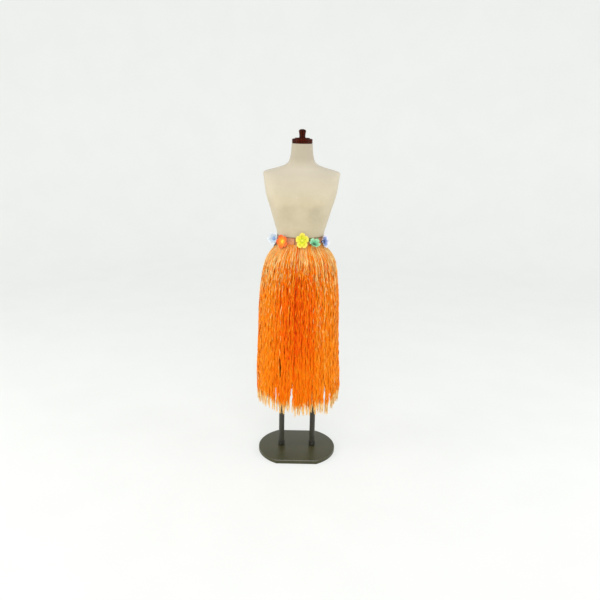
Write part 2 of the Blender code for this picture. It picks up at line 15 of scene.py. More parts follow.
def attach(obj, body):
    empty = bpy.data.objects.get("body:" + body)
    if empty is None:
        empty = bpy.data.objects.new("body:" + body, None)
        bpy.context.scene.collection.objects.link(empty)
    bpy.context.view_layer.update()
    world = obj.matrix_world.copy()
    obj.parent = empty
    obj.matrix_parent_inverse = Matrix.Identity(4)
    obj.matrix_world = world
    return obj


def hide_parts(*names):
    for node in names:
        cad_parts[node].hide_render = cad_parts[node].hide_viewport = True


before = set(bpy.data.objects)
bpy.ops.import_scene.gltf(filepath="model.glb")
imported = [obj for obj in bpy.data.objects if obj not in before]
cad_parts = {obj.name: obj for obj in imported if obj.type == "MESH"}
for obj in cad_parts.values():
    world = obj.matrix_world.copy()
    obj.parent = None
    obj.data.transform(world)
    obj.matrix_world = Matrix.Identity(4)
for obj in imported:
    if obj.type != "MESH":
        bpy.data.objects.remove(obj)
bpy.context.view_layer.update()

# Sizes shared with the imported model
WAIST = 1.0700
BAND_BOTTOM = 1.0503
BAND_TOP = 1.0863
BAND_WALL = 0.0018
BODY_CLEARANCE = 0.0006
SEAM_GAP = 0.0003
STRIP_TOP = 1.0500
STRIP_BOTTOM = 1.0370
BASE_RADIUS = 0.1885
BASE_HALF_DEPTH = 0.162
BASE_THICKNESS = 0.0185
POST_RADIUS = 0.0132
POST_HALF_SPACING = 0.076
COLLAR_RADIUS = 0.0155
COLLAR_HEIGHT = 0.026
SCREW_RADIUS = 0.0046
SCREW_LENGTH = 0.003
STEM_RADIUS = 0.0042
SECTORS = 12
QUARTERS = 4

Section = namedtuple("Section", "z half_width half_depth centre_y squareness")

TORSO = [
    Section(0.8000, 0.1500, 0.0980, 0.0060, 2.20),
    Section(0.8120, 0.1580, 0.1040, 0.0070, 2.20),
    Section(0.8400, 0.1645, 0.1100, 0.0080, 2.20),
    Section(0.8750, 0.1660, 0.1130, 0.0090, 2.20),
    Section(0.9150, 0.1610, 0.1110, 0.0080, 2.20),
    Section(0.9550, 0.1480, 0.1040, 0.0050, 2.15),
    Section(0.9950, 0.1290, 0.0950, 0.0030, 2.10),
    Section(1.0300, 0.1120, 0.0870, 0.0010, 2.10),
    Section(1.0500, 0.1066, 0.0842, 0.0000, 2.10),
    Section(WAIST, 0.1051, 0.0830, 0.0000, 2.10),
    Section(1.0950, 0.1075, 0.0846, 0.0000, 2.10),
    Section(1.1350, 0.1183, 0.0912, 0.0000, 2.10),
    Section(1.1750, 0.1305, 0.1000, -0.0010, 2.15),
    Section(1.2050, 0.1388, 0.1050, -0.0020, 2.20),
    Section(1.2350, 0.1485, 0.1085, -0.0020, 2.30),
    Section(1.2650, 0.1575, 0.1085, 0.0010, 2.50),
    Section(1.2980, 0.1642, 0.1030, 0.0050, 2.70),
    Section(1.3260, 0.1685, 0.0935, 0.0090, 2.75),
    Section(1.3490, 0.1721, 0.0825, 0.0120, 2.50),
    Section(1.3660, 0.1745, 0.0710, 0.0130, 2.00),
    Section(1.3750, 0.1630, 0.0660, 0.0120, 1.70),
    Section(1.3840, 0.1320, 0.0620, 0.0110, 1.60),
    Section(1.3940, 0.0975, 0.0580, 0.0100, 1.70),
    Section(1.4040, 0.0730, 0.0540, 0.0090, 1.90),
    Section(1.4160, 0.0600, 0.0500, 0.0085, 2.00),
    Section(1.4350, 0.0532, 0.0485, 0.0080, 2.00),
    Section(1.4620, 0.0490, 0.0470, 0.0075, 2.00),
    Section(1.4962, 0.0466, 0.0460, 0.0075, 2.00),
]

SKIRT = [
    Section(0.2400, 0.2070, 0.1570, 0.0060, 2.05),
    Section(0.3500, 0.2050, 0.1550, 0.0060, 2.05),
    Section(0.4700, 0.1985, 0.1510, 0.0060, 2.05),
    Section(0.6000, 0.1935, 0.1480, 0.0060, 2.05),
    Section(0.7000, 0.1915, 0.1460, 0.0060, 2.05),
    Section(0.8000, 0.1875, 0.1430, 0.0060, 2.10),
    Section(0.8500, 0.1830, 0.1400, 0.0060, 2.10),
    Section(0.9000, 0.1775, 0.1360, 0.0050, 2.10),
    Section(0.9350, 0.1725, 0.1310, 0.0040, 2.10),
    Section(0.9700, 0.1645, 0.1235, 0.0030, 2.10),
    Section(1.0050, 0.1455, 0.1105, 0.0020, 2.10),
    Section(1.0300, 0.1235, 0.0975, 0.0010, 2.10),
    Section(1.0500, 0.1140, 0.0908, 0.0000, 2.10),
]

# Bust of the form: one rounded rise on each side
BUST_X = 0.070
BUST_Z = 1.238
BUST_SPREAD_X = 0.052
BUST_SPREAD_Z = 0.048
BUST_HEIGHT = 0.018
BUST_FADES_BELOW = 0.6


def power(value, exponent):
    return np.copysign(np.abs(value) ** exponent, value)


def smoothstep(value, low, high):
    """Rises smoothly from 0 at low to 1 at high."""
    t = np.clip((value - low) / (high - low), 0.0, 1.0)
    return t * t * (3.0 - 2.0 * t)


def falling(value, high, low):
    """Rises smoothly from 0 at high to 1 at low."""
    return smoothstep(-value, -high, -low)


def bell(value, middle, spread):
    return np.exp(-(((value - middle) / spread) ** 2))


class Outline:
    """A table of sections, read smoothly at any height."""

    def __init__(self, rows):
        table = np.array(rows)
        self.heights = table[:, 0]
        self.values = table[:, 1:]
        between = np.diff(self.values, axis=0) / np.diff(self.heights)[:, None]
        before, after = between[:-1], between[1:]
        same_way = before * after > 0.0
        total = np.where(same_way, before + after, 1.0)
        inner = np.where(same_way, 2.0 * before * after / total, 0.0)
        self.slopes = np.vstack([between[:1], inner, between[-1:]])

    def at(self, z):
        """Half width, half depth, centre and squareness at heights z."""
        z = np.clip(z, self.heights[0], self.heights[-1])
        row = np.searchsorted(self.heights, z, side="right") - 1
        row = np.clip(row, 0, len(self.heights) - 2)
        step = (self.heights[row + 1] - self.heights[row])[..., None]
        t = (z - self.heights[row])[..., None] / step
        rise = t * t * (3.0 - 2.0 * t)
        low_slope = t * (1.0 - t) ** 2 * step
        high_slope = t * t * (t - 1.0) * step
        curve = self.values[row] * (1.0 - rise) + self.values[row + 1] * rise
        return curve + self.slopes[row] * low_slope + self.slopes[row + 1] * high_slope

    def surface(self, z, turn, outward=0.0):
        """Points at heights and turns, moved outward in plan, and the outward direction at each."""
        z, turn, outward = np.broadcast_arrays(z, turn, outward)
        half_width, half_depth, centre_y, squareness = np.moveaxis(self.at(z), -1, 0)
        x = half_width * power(np.sin(turn), 2.0 / squareness)
        y = -half_depth * power(np.cos(turn), 2.0 / squareness)
        normal_x = power(x / half_width, squareness - 1.0) / half_width
        normal_y = power(y / half_depth, squareness - 1.0) / half_depth
        length = np.hypot(normal_x, normal_y)
        normal = np.stack([normal_x / length, normal_y / length, np.zeros_like(length)], -1)
        points = np.stack([x, centre_y + y, z], -1) + normal * outward[..., None]
        return points, normal


torso_outline = Outline(TORSO)
skirt_outline = Outline(SKIRT)


class Round:
    """Even steps along the round of the skirt at hip height, from the middle of the back."""

    STEPS = 1440
    MEASURED_AT = 0.80

    def __init__(self):
        self.turns = np.linspace(-math.pi, math.pi, self.STEPS + 1)
        points, _ = skirt_outline.surface(self.MEASURED_AT, self.turns)
        steps = np.linalg.norm(np.diff(points, axis=0), axis=1)
        self.along = np.concatenate([[0.0], np.cumsum(steps)])
        self.length = self.along[-1]

    def turn_at(self, distance):
        return np.interp(np.mod(distance, self.length), self.along, self.turns)

    def distance_of(self, degrees):
        return np.interp(math.radians(degrees), self.turns, self.along)

    def shared_out(self, sizes):
        """The ends of the stretches that share out the round by their sizes."""
        return np.concatenate([[0.0], np.cumsum(sizes)]) / sizes.sum() * self.length


skirt_round = Round()


def stretch_of(ends, distance):
    """Which stretch between the ends holds each distance."""
    return np.clip(np.searchsorted(ends, distance) - 1, 0, len(ends) - 2)


# Making meshes and pieces


def full_turn(sides):
    return np.linspace(0.0, math.tau, sides, endpoint=False)


def grid_faces(rows, columns, closed=False, looped=False, first=0):
    """Quads between rows of points. Closed joins each row round, looped the last row to the first."""
    down = rows if looped else rows - 1
    across = columns if closed else columns - 1
    i, j = np.meshgrid(np.arange(down), np.arange(across), indexing="ij")
    below = (i + 1) % rows * columns
    right = (j + 1) % columns
    corners = [i * columns + j, i * columns + right, below + right, below + j]
    return np.stack(corners, -1).reshape(-1, 4) + first


def capped_faces(rows, sides):
    """Faces of rings of points joined one to the next, with a flat face at each end."""
    ring = np.arange(sides)
    low_end = ring[::-1][None, :]
    high_end = (ring + (rows - 1) * sides)[None, :]
    return [grid_faces(rows, sides, closed=True), low_end, high_end]


def sheet_faces(rows, columns, first=0):
    """Faces of a thin closed sheet: a grid of points, the same grid behind it, and its rim."""
    size = rows * columns
    grid = np.arange(size).reshape(rows, columns)
    rim = np.concatenate([grid[0], grid[1:, -1], grid[-1, -2::-1], grid[-2:0:-1, 0]]) + first
    after = np.roll(rim, -1)
    edge = np.stack([rim, rim + size, after + size, after], -1)
    front = grid_faces(rows, columns, first=first)
    back = grid_faces(rows, columns, first=first + size)[:, ::-1]
    return [front, back, edge]


def placed(points, place):
    """Points moved by a matrix."""
    place = np.array(place)
    return points @ place[:3, :3].T + place[:3, 3]


def mesh_of(name, points, face_groups, values=None):
    """A smooth mesh from points and arrays of faces, with named values at its points."""
    points = np.asarray(points, np.float32).reshape(-1, 3)
    mesh = bpy.data.meshes.new(name)
    mesh.vertices.add(len(points))
    mesh.vertices.foreach_set("co", points.ravel())
    groups = [np.asarray(group, np.int32) for group in face_groups]
    corners = np.concatenate([group.ravel() for group in groups])
    sizes = np.concatenate([np.full(len(group), group.shape[1]) for group in groups])
    starts = np.concatenate([[0], np.cumsum(sizes)[:-1]]).astype(np.int32)
    mesh.loops.add(len(corners))
    mesh.loops.foreach_set("vertex_index", corners)
    mesh.polygons.add(len(sizes))
    mesh.polygons.foreach_set("loop_start", starts)
    mesh.update(calc_edges=True)
    mesh.validate()
    mesh.shade_smooth()
    for key, numbers in (values or {}).items():
        attribute = mesh.attributes.new(key, "FLOAT", "POINT")
        attribute.data.foreach_set("value", np.asarray(numbers, np.float32).ravel())
    return mesh


def show(name, data):
    obj = bpy.data.objects.new(name, data)
    bpy.context.scene.collection.objects.link(obj)
    return obj


def piece(mesh, material, stands_for=(), sharp_degrees=None):
    """Shows a mesh as a piece of the object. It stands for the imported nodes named."""
    obj = show(mesh.name, mesh)
    mesh.materials.append(material)
    if sharp_degrees:
        mesh.set_sharp_from_angle(angle=math.radians(sharp_degrees))
    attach(obj, "root")
    if stands_for:
        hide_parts(*stands_for)
    return obj


def turned(name, profile, place, sides=72):
    """A mesh turned from (radius, height) rows about an upright axis, with flat ends."""
    profile = np.array(profile)
    turns = full_turn(sides)
    x = place[0] + profile[:, :1] * np.cos(turns)
    y = place[1] + profile[:, :1] * np.sin(turns)
    z = place[2] + profile[:, 1:] + 0.0 * turns
    return mesh_of(name, np.stack([x, y, z], -1), capped_faces(len(profile), sides))


def rounded(profile, radius, steps=5):
    """A profile of (radius, height) rows with its corners rounded off."""
    rows = [np.array(row, float) for row in profile]
    smooth = [rows[0]]
    for before, corner, after in zip(rows, rows[1:], rows[2:]):
        back = before - corner
        on = after - corner
        cut = min(radius, 0.45 * np.linalg.norm(back), 0.45 * np.linalg.norm(on))
        start = corner + back / np.linalg.norm(back) * cut
        end = corner + on / np.linalg.norm(on) * cut
        for t in np.linspace(0.0, 1.0, steps):
            smooth.append((1 - t) ** 2 * start + 2 * t * (1 - t) * corner + t * t * end)
    smooth.append(rows[-1])
    return smooth


# Materials


class Nodes:
    """A material and short calls that build its nodes."""

    def __init__(self, name):
        self.material = bpy.data.materials.new(name)
        self.material.use_nodes = True
        self.tree = self.material.node_tree
        self.shader = self.tree.nodes["Principled BSDF"]
        self.place = self.add("ShaderNodeTexCoord").outputs["Object"]

    def add(self, kind, **settings):
        node = self.tree.nodes.new(kind)
        for key, value in settings.items():
            setattr(node, key, value)
        return node

    def put(self, value, socket):
        """Gives a socket a constant, or links another node's output to it."""
        if isinstance(value, bpy.types.NodeSocket):
            self.tree.links.new(value, socket)
        elif socket.type == "RGBA":
            socket.default_value = (*value, 1.0)
        else:
            socket.default_value = value

    def set(self, **values):
        """Fills sockets of the main shader. An underscore stands for a space."""
        for key, value in values.items():
            self.put(value, self.shader.inputs[key.replace("_", " ")])

    def texture(self, kind, scale, inputs, **settings):
        """A texture in object space, with one scale or one for each axis."""
        mapping = self.add("ShaderNodeMapping")
        self.put(self.place, mapping.inputs["Vector"])
        self.put(scale if isinstance(scale, tuple) else (scale,) * 3, mapping.inputs["Scale"])
        node = self.add(kind, **settings)
        self.put(mapping.outputs["Vector"], node.inputs["Vector"])
        for key, value in {"Scale": 1.0, **inputs}.items():
            self.put(value, node.inputs[key])
        return node.outputs["Fac"]

    def noise(self, scale, detail=3.0, roughness=0.55):
        inputs = {"Detail": detail, "Roughness": roughness}
        return self.texture("ShaderNodeTexNoise", scale, inputs)

    def wave(self, scale, direction, distortion, detail=1.0):
        inputs = {"Distortion": distortion, "Detail": detail}
        return self.texture("ShaderNodeTexWave", scale, inputs, bands_direction=direction)

    def attribute(self, name):
        return self.add("ShaderNodeAttribute", attribute_name=name).outputs["Fac"]

    def math(self, operation, first, second=0.0, third=0.0, clamp=False):
        node = self.add("ShaderNodeMath", operation=operation, use_clamp=clamp)
        for value, socket in zip((first, second, third), node.inputs):
            self.put(value, socket)
        return node.outputs[0]

    def line(self, source, slope, base, clamp=False):
        return self.math("MULTIPLY_ADD", source, slope, base, clamp)

    def weighed(self, first, share, second):
        """A share of the first and the rest of the second."""
        return self.line(first, share, self.math("MULTIPLY", second, 1.0 - share))

    def above(self, start, per_metre):
        """Grows from 0 at a height to 1, at so much for each metre."""
        level = self.add("ShaderNodeSeparateXYZ")
        self.put(self.place, level.inputs[0])
        return self.line(level.outputs["Z"], per_metre, -start * per_metre, clamp=True)

    def ramp(self, factor, stops, smooth=True):
        """A colour for a factor, from (position, colour) stops."""
        node = self.add("ShaderNodeValToRGB")
        node.color_ramp.interpolation = "EASE" if smooth else "LINEAR"
        elements = node.color_ramp.elements
        while len(elements) < len(stops):
            elements.new(1.0)
        for element, (position, colour) in zip(elements, stops):
            element.position = position
            element.color = (*colour, 1.0)
        self.put(factor, node.inputs["Fac"])
        return node.outputs["Color"]

    def mix(self, factor, first, second, blend="MIX"):
        node = self.add("ShaderNodeMix", data_type="RGBA", blend_type=blend)
        for value, index in ((factor, 0), (first, 6), (second, 7)):
            self.put(value, node.inputs[index])
        return node.outputs[2]

    def bump(self, height, distance, strength=1.0, under=None):
        node = self.add("ShaderNodeBump")
        self.put(strength, node.inputs["Strength"])
        self.put(distance, node.inputs["Distance"])
        self.put(height, node.inputs["Height"])
        if under is not None:
            self.put(under, node.inputs["Normal"])
        return node.outputs["Normal"]

    def weave(self, threads_per_metre, depth):
        """A plain weave: threads up and across that pass over and under each other."""
        across = self.wave((threads_per_metre, 1.0, 1.0), "X", 0.6)
        upward = self.wave((1.0, threads_per_metre, threads_per_metre), "Z", 0.6)
        height = self.math("MAXIMUM", across, upward)
        return height, self.bump(height, depth)

    def let_light_through(self, colour, share):
        """Mixes in a share of thin cloth or film that glows with the light behind it."""
        through = self.add("ShaderNodeBsdfTranslucent")
        self.put(colour, through.inputs["Color"])
        both = self.add("ShaderNodeMixShader")
        for value, socket in zip((share, self.shader.outputs[0], through.outputs[0]), both.inputs):
            self.put(value, socket)
        self.put(both.outputs[0], self.tree.nodes["Material Output"].inputs["Surface"])


# Painted shade in the weave of the form's cloth: grey in the hollows, white on the threads
WEAVE_UNSHADED = (1.0, 1.0, 1.0)
WEAVE_HOLLOW_SHADE = (0.86, 0.85, 0.83)
CHEST_TINT = (0.475, 0.428, 0.345)
CHEST_FROM = 1.235
NECK_TINT = (0.375, 0.325, 0.240)
NECK_FROM = 1.385
# Colour of the painted highlight along the plate's front edge
PAINTED_EDGE_HIGHLIGHT = (0.112, 0.112, 0.092)
# Painted orange glow on the band towards its lower edge
BAND_GLOW = (0.85, 0.30, 0.07)
BAND_GLOWS_BELOW = 1.072
FILM_SHADE = (0.58, 0.50, 0.36)
FILM_THROUGH = 0.26
PETAL_THROUGH = 0.25
# The pale peach end of the film's tones also paints highlights on the streaks.
FILM_TONES = [
    (0.00, (0.72, 0.045, 0.000)),
    (0.25, (1.00, 0.105, 0.000)),
    (0.50, (1.00, 0.195, 0.000)),
    (0.72, (1.00, 0.290, 0.003)),
    (0.87, (1.00, 0.410, 0.035)),
    (1.00, (1.00, 0.680, 0.280)),
]


def form_cloth():
    nodes = Nodes("form_cloth")
    height, normal = nodes.weave(900.0, 0.0002)
    slubs = nodes.noise((60.0, 60.0, 600.0), 2.0)
    tint = nodes.weighed(slubs, 0.35, nodes.noise(9.0, 4.0))
    cloth = nodes.ramp(tint, [(0.25, (0.450, 0.382, 0.252)), (0.75, (0.540, 0.468, 0.328))])
    cloth = nodes.mix(nodes.math("MULTIPLY", nodes.above(CHEST_FROM, 7.0), 0.75), cloth, CHEST_TINT)
    cloth = nodes.mix(nodes.math("MULTIPLY", nodes.above(NECK_FROM, 20.0), 0.9), cloth, NECK_TINT)
    # Painted shade: the cloth is darker where the threads lie low.
    weave_shade = nodes.ramp(height, [(0.0, WEAVE_HOLLOW_SHADE), (1.0, WEAVE_UNSHADED)])
    nodes.set(Base_Color=nodes.mix(1.0, cloth, weave_shade, "MULTIPLY"))
    nodes.set(Normal=nodes.bump(slubs, 0.0002, 0.6, normal))
    nodes.set(Roughness=0.88, Sheen_Weight=0.25, Sheen_Roughness=0.5)
    return nodes.material


def turned_wood():
    nodes = Nodes("turned_wood")
    grain = nodes.noise((35.0, 35.0, 260.0), 5.0, 0.65)
    rings = nodes.wave((40.0, 40.0, 14.0), "X", 5.0, 3.0)
    figure = nodes.weighed(rings, 0.22, grain)
    wood = nodes.ramp(figure, [(0.32, (0.004, 0.0005, 0.0001)), (0.68, (0.068, 0.007, 0.001))])
    nodes.set(Base_Color=wood, Roughness=nodes.line(grain, 0.12, 0.26))
    nodes.set(Normal=nodes.bump(grain, 0.0002, 0.4), Specular_IOR_Level=0.05)
    return nodes.material


def stand_metal(name, dark, light):
    """Satin paint, lighter where the mesh marks a painted highlight."""
    nodes = Nodes(name)
    peel = nodes.noise(700.0, 2.0)
    dust = nodes.noise(22.0, 5.0, 0.6)
    paint = nodes.ramp(dust, [(0.3, dark), (0.75, light)])
    # The marked edge is mixed towards a lighter colour: a painted highlight.
    nodes.set(Base_Color=nodes.mix(nodes.attribute("painted_highlight"), paint, PAINTED_EDGE_HIGHLIGHT))
    nodes.set(Roughness=nodes.line(dust, 0.18, 0.30), Normal=nodes.bump(peel, 0.00008, 0.7))
    nodes.set(Specular_IOR_Level=0.35, Coat_Weight=0.06, Coat_Roughness=0.3)
    return nodes.material


def band_cloth(name, dark, light, glow_share):
    """Shirred elastic: fine upright gathers with rows of stitching across them, and a painted orange glow
    near its lower edge.
    """
    nodes = Nodes(name)
    fine = nodes.noise((500.0, 500.0, 120.0), 3.0)
    shade = nodes.weighed(nodes.wave((1.0, 1.0, 110.0), "Z", 0.3), 0.35, fine)
    cloth = nodes.ramp(shade, [(0.25, dark), (0.75, light)])
    # Towards its lower edge the band gets a painted orange glow.
    low = nodes.above(BAND_GLOWS_BELOW, -55.0)
    low = nodes.math("MULTIPLY", low, nodes.line(fine, 0.9, 0.25), clamp=True)
    nodes.set(Base_Color=nodes.mix(nodes.math("MULTIPLY", low, glow_share), cloth, BAND_GLOW))
    _, normal = nodes.weave(1400.0, 0.0001)
    nodes.set(Normal=nodes.bump(shade, 0.0006, 0.8, normal))
    nodes.set(Roughness=0.62, Sheen_Weight=0.4, Sheen_Roughness=0.4)
    return nodes.material


def grass_film():
    """Crinkled film that lets light through. Its tone runs from deep orange to peach; parts of it are
    painted light, shade and highlights.
    """
    nodes = Nodes("grass_film")
    streaks_and_highlights = nodes.noise((420.0, 420.0, 26.0), 3.0, 0.6)
    crumple = nodes.noise((900.0, 900.0, 130.0), 4.0, 0.65)
    # Pale streaks here are partly dye and partly painted highlights.
    offset = nodes.line(streaks_and_highlights, 0.9, -0.45)
    mixed = nodes.math("ADD", nodes.attribute("tone"), offset, clamp=True)
    dye = nodes.ramp(mixed, FILM_TONES, smooth=False)
    film = nodes.mix(nodes.attribute("shade"), dye, FILM_SHADE, "MULTIPLY")
    nodes.set(Base_Color=film, Normal=nodes.bump(crumple, 0.0022, 0.9))
    nodes.set(Roughness=nodes.line(crumple, 0.2, 0.22), Specular_IOR_Level=0.08)
    nodes.set(Sheen_Weight=0.07, Sheen_Roughness=0.35, Sheen_Tint=(1.0, 0.62, 0.16))
    nodes.let_light_through(film, FILM_THROUGH)
    return nodes.material


def petal_cloth(name, stops):
    """Thin dyed cloth. Its colour runs from the heart of the flower to the petals' edges."""
    nodes = Nodes(name)
    blot = nodes.line(nodes.noise(160.0, 3.0), 0.24, -0.12)
    spread = nodes.math("ADD", nodes.attribute("reach"), blot, clamp=True)
    cloth = nodes.ramp(spread, stops)
    _, normal = nodes.weave(1800.0, 0.00008)
    veins = nodes.noise(420.0, 2.0)
    nodes.set(Base_Color=cloth, Normal=nodes.bump(veins, 0.0003, 0.5, normal))
    nodes.set(Roughness=0.75, Sheen_Weight=0.35, Sheen_Roughness=0.4)
    nodes.let_light_through(cloth, PETAL_THROUGH)
    return nodes.material


def centre_cloth(name, dark, light):
    nodes = Nodes(name)
    tufts = nodes.noise(900.0, 3.0, 0.6)
    nodes.set(Base_Color=nodes.ramp(tufts, [(0.3, dark), (0.7, light)]))
    nodes.set(Normal=nodes.bump(tufts, 0.0008, 0.9))
    nodes.set(Roughness=0.8, Sheen_Weight=0.5, Sheen_Roughness=0.5)
    return nodes.material


def leaf_cloth(name, dark, light):
    nodes = Nodes(name)
    nodes.set(Base_Color=nodes.ramp(nodes.noise(240.0, 3.0), [(0.3, dark), (0.7, light)]))
    _, normal = nodes.weave(1600.0, 0.0001)
    nodes.set(Normal=normal, Roughness=0.6)
    return nodes.material


# The stand

BASE_ARC_STEPS = 64
BASE_SIDES = 2 * BASE_ARC_STEPS
BASE_EDGE_ROUND = 0.0036
BASE_EDGE_STEPS = 7
BASE_FOOT_BEVEL = 0.0010
# Painted highlight on the rounded front edge: its strength at the corners and the next points round, and its
# rows
HIGHLIGHT_FROM_CORNERS = (1.0, 0.5, 0.2)
HIGHLIGHT_ROWS = slice(3, 8)
COLLAR_EDGE_ROUND = 0.0012
SCREW_HOLE_RADIUS = 0.0006
# Shares of the screw head's radius and length, from the socket in its face to its flat back
SCREW_FACE = ((0.5, 0.55), (0.58, 1.0), (0.85, 1.0), (1.0, 0.7), (1.0, 0.0))
# Turned profiles of the cap and its knob: radius and height
CAP_PROFILE = [
    (0.0438, 0.0000),
    (0.0458, 0.0016),
    (0.0460, 0.0076),
    (0.0454, 0.0092),
    (0.0460, 0.0108),
    (0.0458, 0.0179),
    (0.0438, 0.0201),
    (0.0360, 0.0203),
    (0.0345, 0.0207),
    (0.0340, 0.0229),
    (0.0315, 0.0241),
]
KNOB_PROFILE = [
    (0.0148, 0.0000),
    (0.0139, 0.0022),
    (0.0135, 0.0070),
    (0.0137, 0.0125),
    (0.0148, 0.0200),
    (0.0160, 0.0255),
    (0.0163, 0.0290),
    (0.0156, 0.0322),
    (0.0134, 0.0348),
    (0.0066, 0.0371),
    (0.0010, 0.0374),
]


def base_outline(inset):
    """A disc cut straight across at the front and at the back."""
    radius = BASE_RADIUS - inset
    half_depth = BASE_HALF_DEPTH - inset
    half_sweep = math.asin(half_depth / radius)
    arc = np.linspace(-half_sweep, half_sweep, BASE_ARC_STEPS)
    turns = np.concatenate([arc, arc + math.pi])
    return np.stack([radius * np.cos(turns), radius * np.sin(turns)], -1)


def base_mesh():
    rows = [(BASE_FOOT_BEVEL, 0.0), (0.0, BASE_FOOT_BEVEL)]
    for turn in np.linspace(0.0, math.pi / 2.0, BASE_EDGE_STEPS):
        inset = BASE_EDGE_ROUND * (1.0 - math.cos(turn))
        rows.append((inset, BASE_THICKNESS - BASE_EDGE_ROUND * (1.0 - math.sin(turn))))
    loops = [np.c_[base_outline(inset), np.full(BASE_SIDES, z)] for inset, z in rows]
    # The front edge's rounded rows are marked for a painted highlight.
    painted_highlight = np.zeros((len(rows), BASE_SIDES))
    for step, highlight_share in enumerate(HIGHLIGHT_FROM_CORNERS):
        painted_highlight[HIGHLIGHT_ROWS, [step, -1 - step]] = highlight_share
    return mesh_of("base_plate_painted", loops, capped_faces(len(rows), BASE_SIDES), {"painted_highlight": painted_highlight})


def build_stand():
    metal = stand_metal("plate_paint", (0.034, 0.033, 0.011), (0.048, 0.045, 0.017))
    post_metal = stand_metal("post_paint", (0.028, 0.027, 0.018), (0.041, 0.039, 0.027))
    collar_metal = stand_metal("collar_paint", (0.014, 0.014, 0.010), (0.024, 0.023, 0.017))
    piece(base_mesh(), metal, ["base_plate"], 30.0)
    bottom = BASE_THICKNESS + SEAM_GAP
    tube = [(POST_RADIUS, 0.0), (POST_RADIUS, TORSO[0].z - SEAM_GAP - bottom)]
    bore = POST_RADIUS + SEAM_GAP
    sleeve = [(bore, 0.0), (COLLAR_RADIUS, 0.0), (COLLAR_RADIUS, COLLAR_HEIGHT), (bore, COLLAR_HEIGHT)]
    sleeve = rounded(sleeve, COLLAR_EDGE_ROUND)
    head = [(SCREW_HOLE_RADIUS, SCREW_LENGTH * SCREW_FACE[0][1])]
    head += [(SCREW_RADIUS * radius, SCREW_LENGTH * length) for radius, length in SCREW_FACE]
    head += [(SCREW_HOLE_RADIUS, 0.0)]
    for side, x in (("left", -POST_HALF_SPACING), ("right", POST_HALF_SPACING)):
        post = turned(f"post_{side}_painted", tube, (x, 0.0, bottom), 48)
        piece(post, post_metal, [f"post_{side}"], 40.0)
        collar = turned(f"post_collar_{side}_painted", sleeve, (x, 0.0, bottom), 48)
        piece(collar, collar_metal, [f"post_collar_{side}"], 40.0)
        screw = turned(f"collar_screw_{side}_painted", head, (0.0, 0.0, 0.0), 32)
        seat = (x, -(COLLAR_RADIUS + SEAM_GAP), BASE_THICKNESS + COLLAR_HEIGHT * 0.5)
        screw.transform(Matrix.Translation(seat) @ Matrix.Rotation(math.pi / 2.0, 4, "X"))
        piece(screw, post_metal, [f"collar_screw_{side}"], 30.0)


def build_neck():
    wood = turned_wood()
    neck = TORSO[-1]
    cap_bottom = neck.z + SEAM_GAP
    cap = turned("neck_cap_turned", rounded(CAP_PROFILE, 0.0012), (0.0, neck.centre_y, cap_bottom))
    piece(cap, wood, ["neck_cap"], 60.0)
    knob_bottom = cap_bottom + CAP_PROFILE[-1][1] + SEAM_GAP
    knob = turned("neck_knob_turned", rounded(KNOB_PROFILE, 0.0025), (0.0, neck.centre_y, knob_bottom))
    piece(knob, wood, ["neck_knob"])


# The dress form

TORSO_ROWS = 150
TORSO_SIDES = 144
TORSO_RIM_INSET = 0.003
SEAM_WIDTH = 0.0022
SEAM_RISE = 0.00035
SEAM_SINK = 0.00005
SEAM_COLUMNS = 5
SEAM_STEPS = 140
NECK_SEAM_HEIGHT = 1.4120
NECK_SEAM_STEPS = 97
Seam = namedtuple("Seam", "name low high path")
# Seams run up the form: how far round they lie at the hip, the waist, the bust and the shoulder
SEAM_HEIGHTS = (0.80, 1.07, 1.24, 1.37)
SEAMS = [
    Seam("front", 0.80, 1.4962, (0.0, 0.0, 0.0, 0.0)),
    Seam("back", 0.80, 1.4962, (180.0, 180.0, 180.0, 180.0)),
    Seam("front_left", 0.80, 1.380, (-30.0, -30.0, -33.0, -46.0)),
    Seam("front_right", 0.80, 1.380, (30.0, 30.0, 33.0, 46.0)),
    Seam("side_left", 0.80, 1.330, (-88.0, -88.0, -88.0, -88.0)),
    Seam("side_right", 0.80, 1.330, (88.0, 88.0, 88.0, 88.0)),
    Seam("back_left", 0.80, 1.380, (-148.0, -148.0, -146.0, -138.0)),
    Seam("back_right", 0.80, 1.380, (148.0, 148.0, 146.0, 138.0)),
]


def bust_rise(points):
    """How far the bust stands forward at points of the plain outline."""
    _, half_depth, centre_y, _ = np.moveaxis(torso_outline.at(points[..., 2]), -1, 0)
    across = (np.abs(points[..., 0]) - BUST_X) / BUST_SPREAD_X
    up = (points[..., 2] - BUST_Z) / BUST_SPREAD_Z
    frontness = np.clip((centre_y - points[..., 1]) / half_depth / BUST_FADES_BELOW, 0.0, 1.0)
    return BUST_HEIGHT * np.exp(-(across**2) - up**2) * frontness


def torso_points(z, turn, outward=0.0):
    points, _ = torso_outline.surface(z, turn, outward)
    on_form, _ = torso_outline.surface(z, turn)
    points[..., 1] -= bust_rise(on_form)
    return points


def ridge_mesh(name, z, turn):
    """A low rounded ridge on the form, in rows of points across it."""
    across = np.linspace(-1.0, 1.0, SEAM_COLUMNS)
    points = torso_points(z, turn, SEAM_RISE * (1.0 - across**2) - SEAM_SINK)
    return mesh_of(name, points, [grid_faces(len(points), SEAM_COLUMNS)])


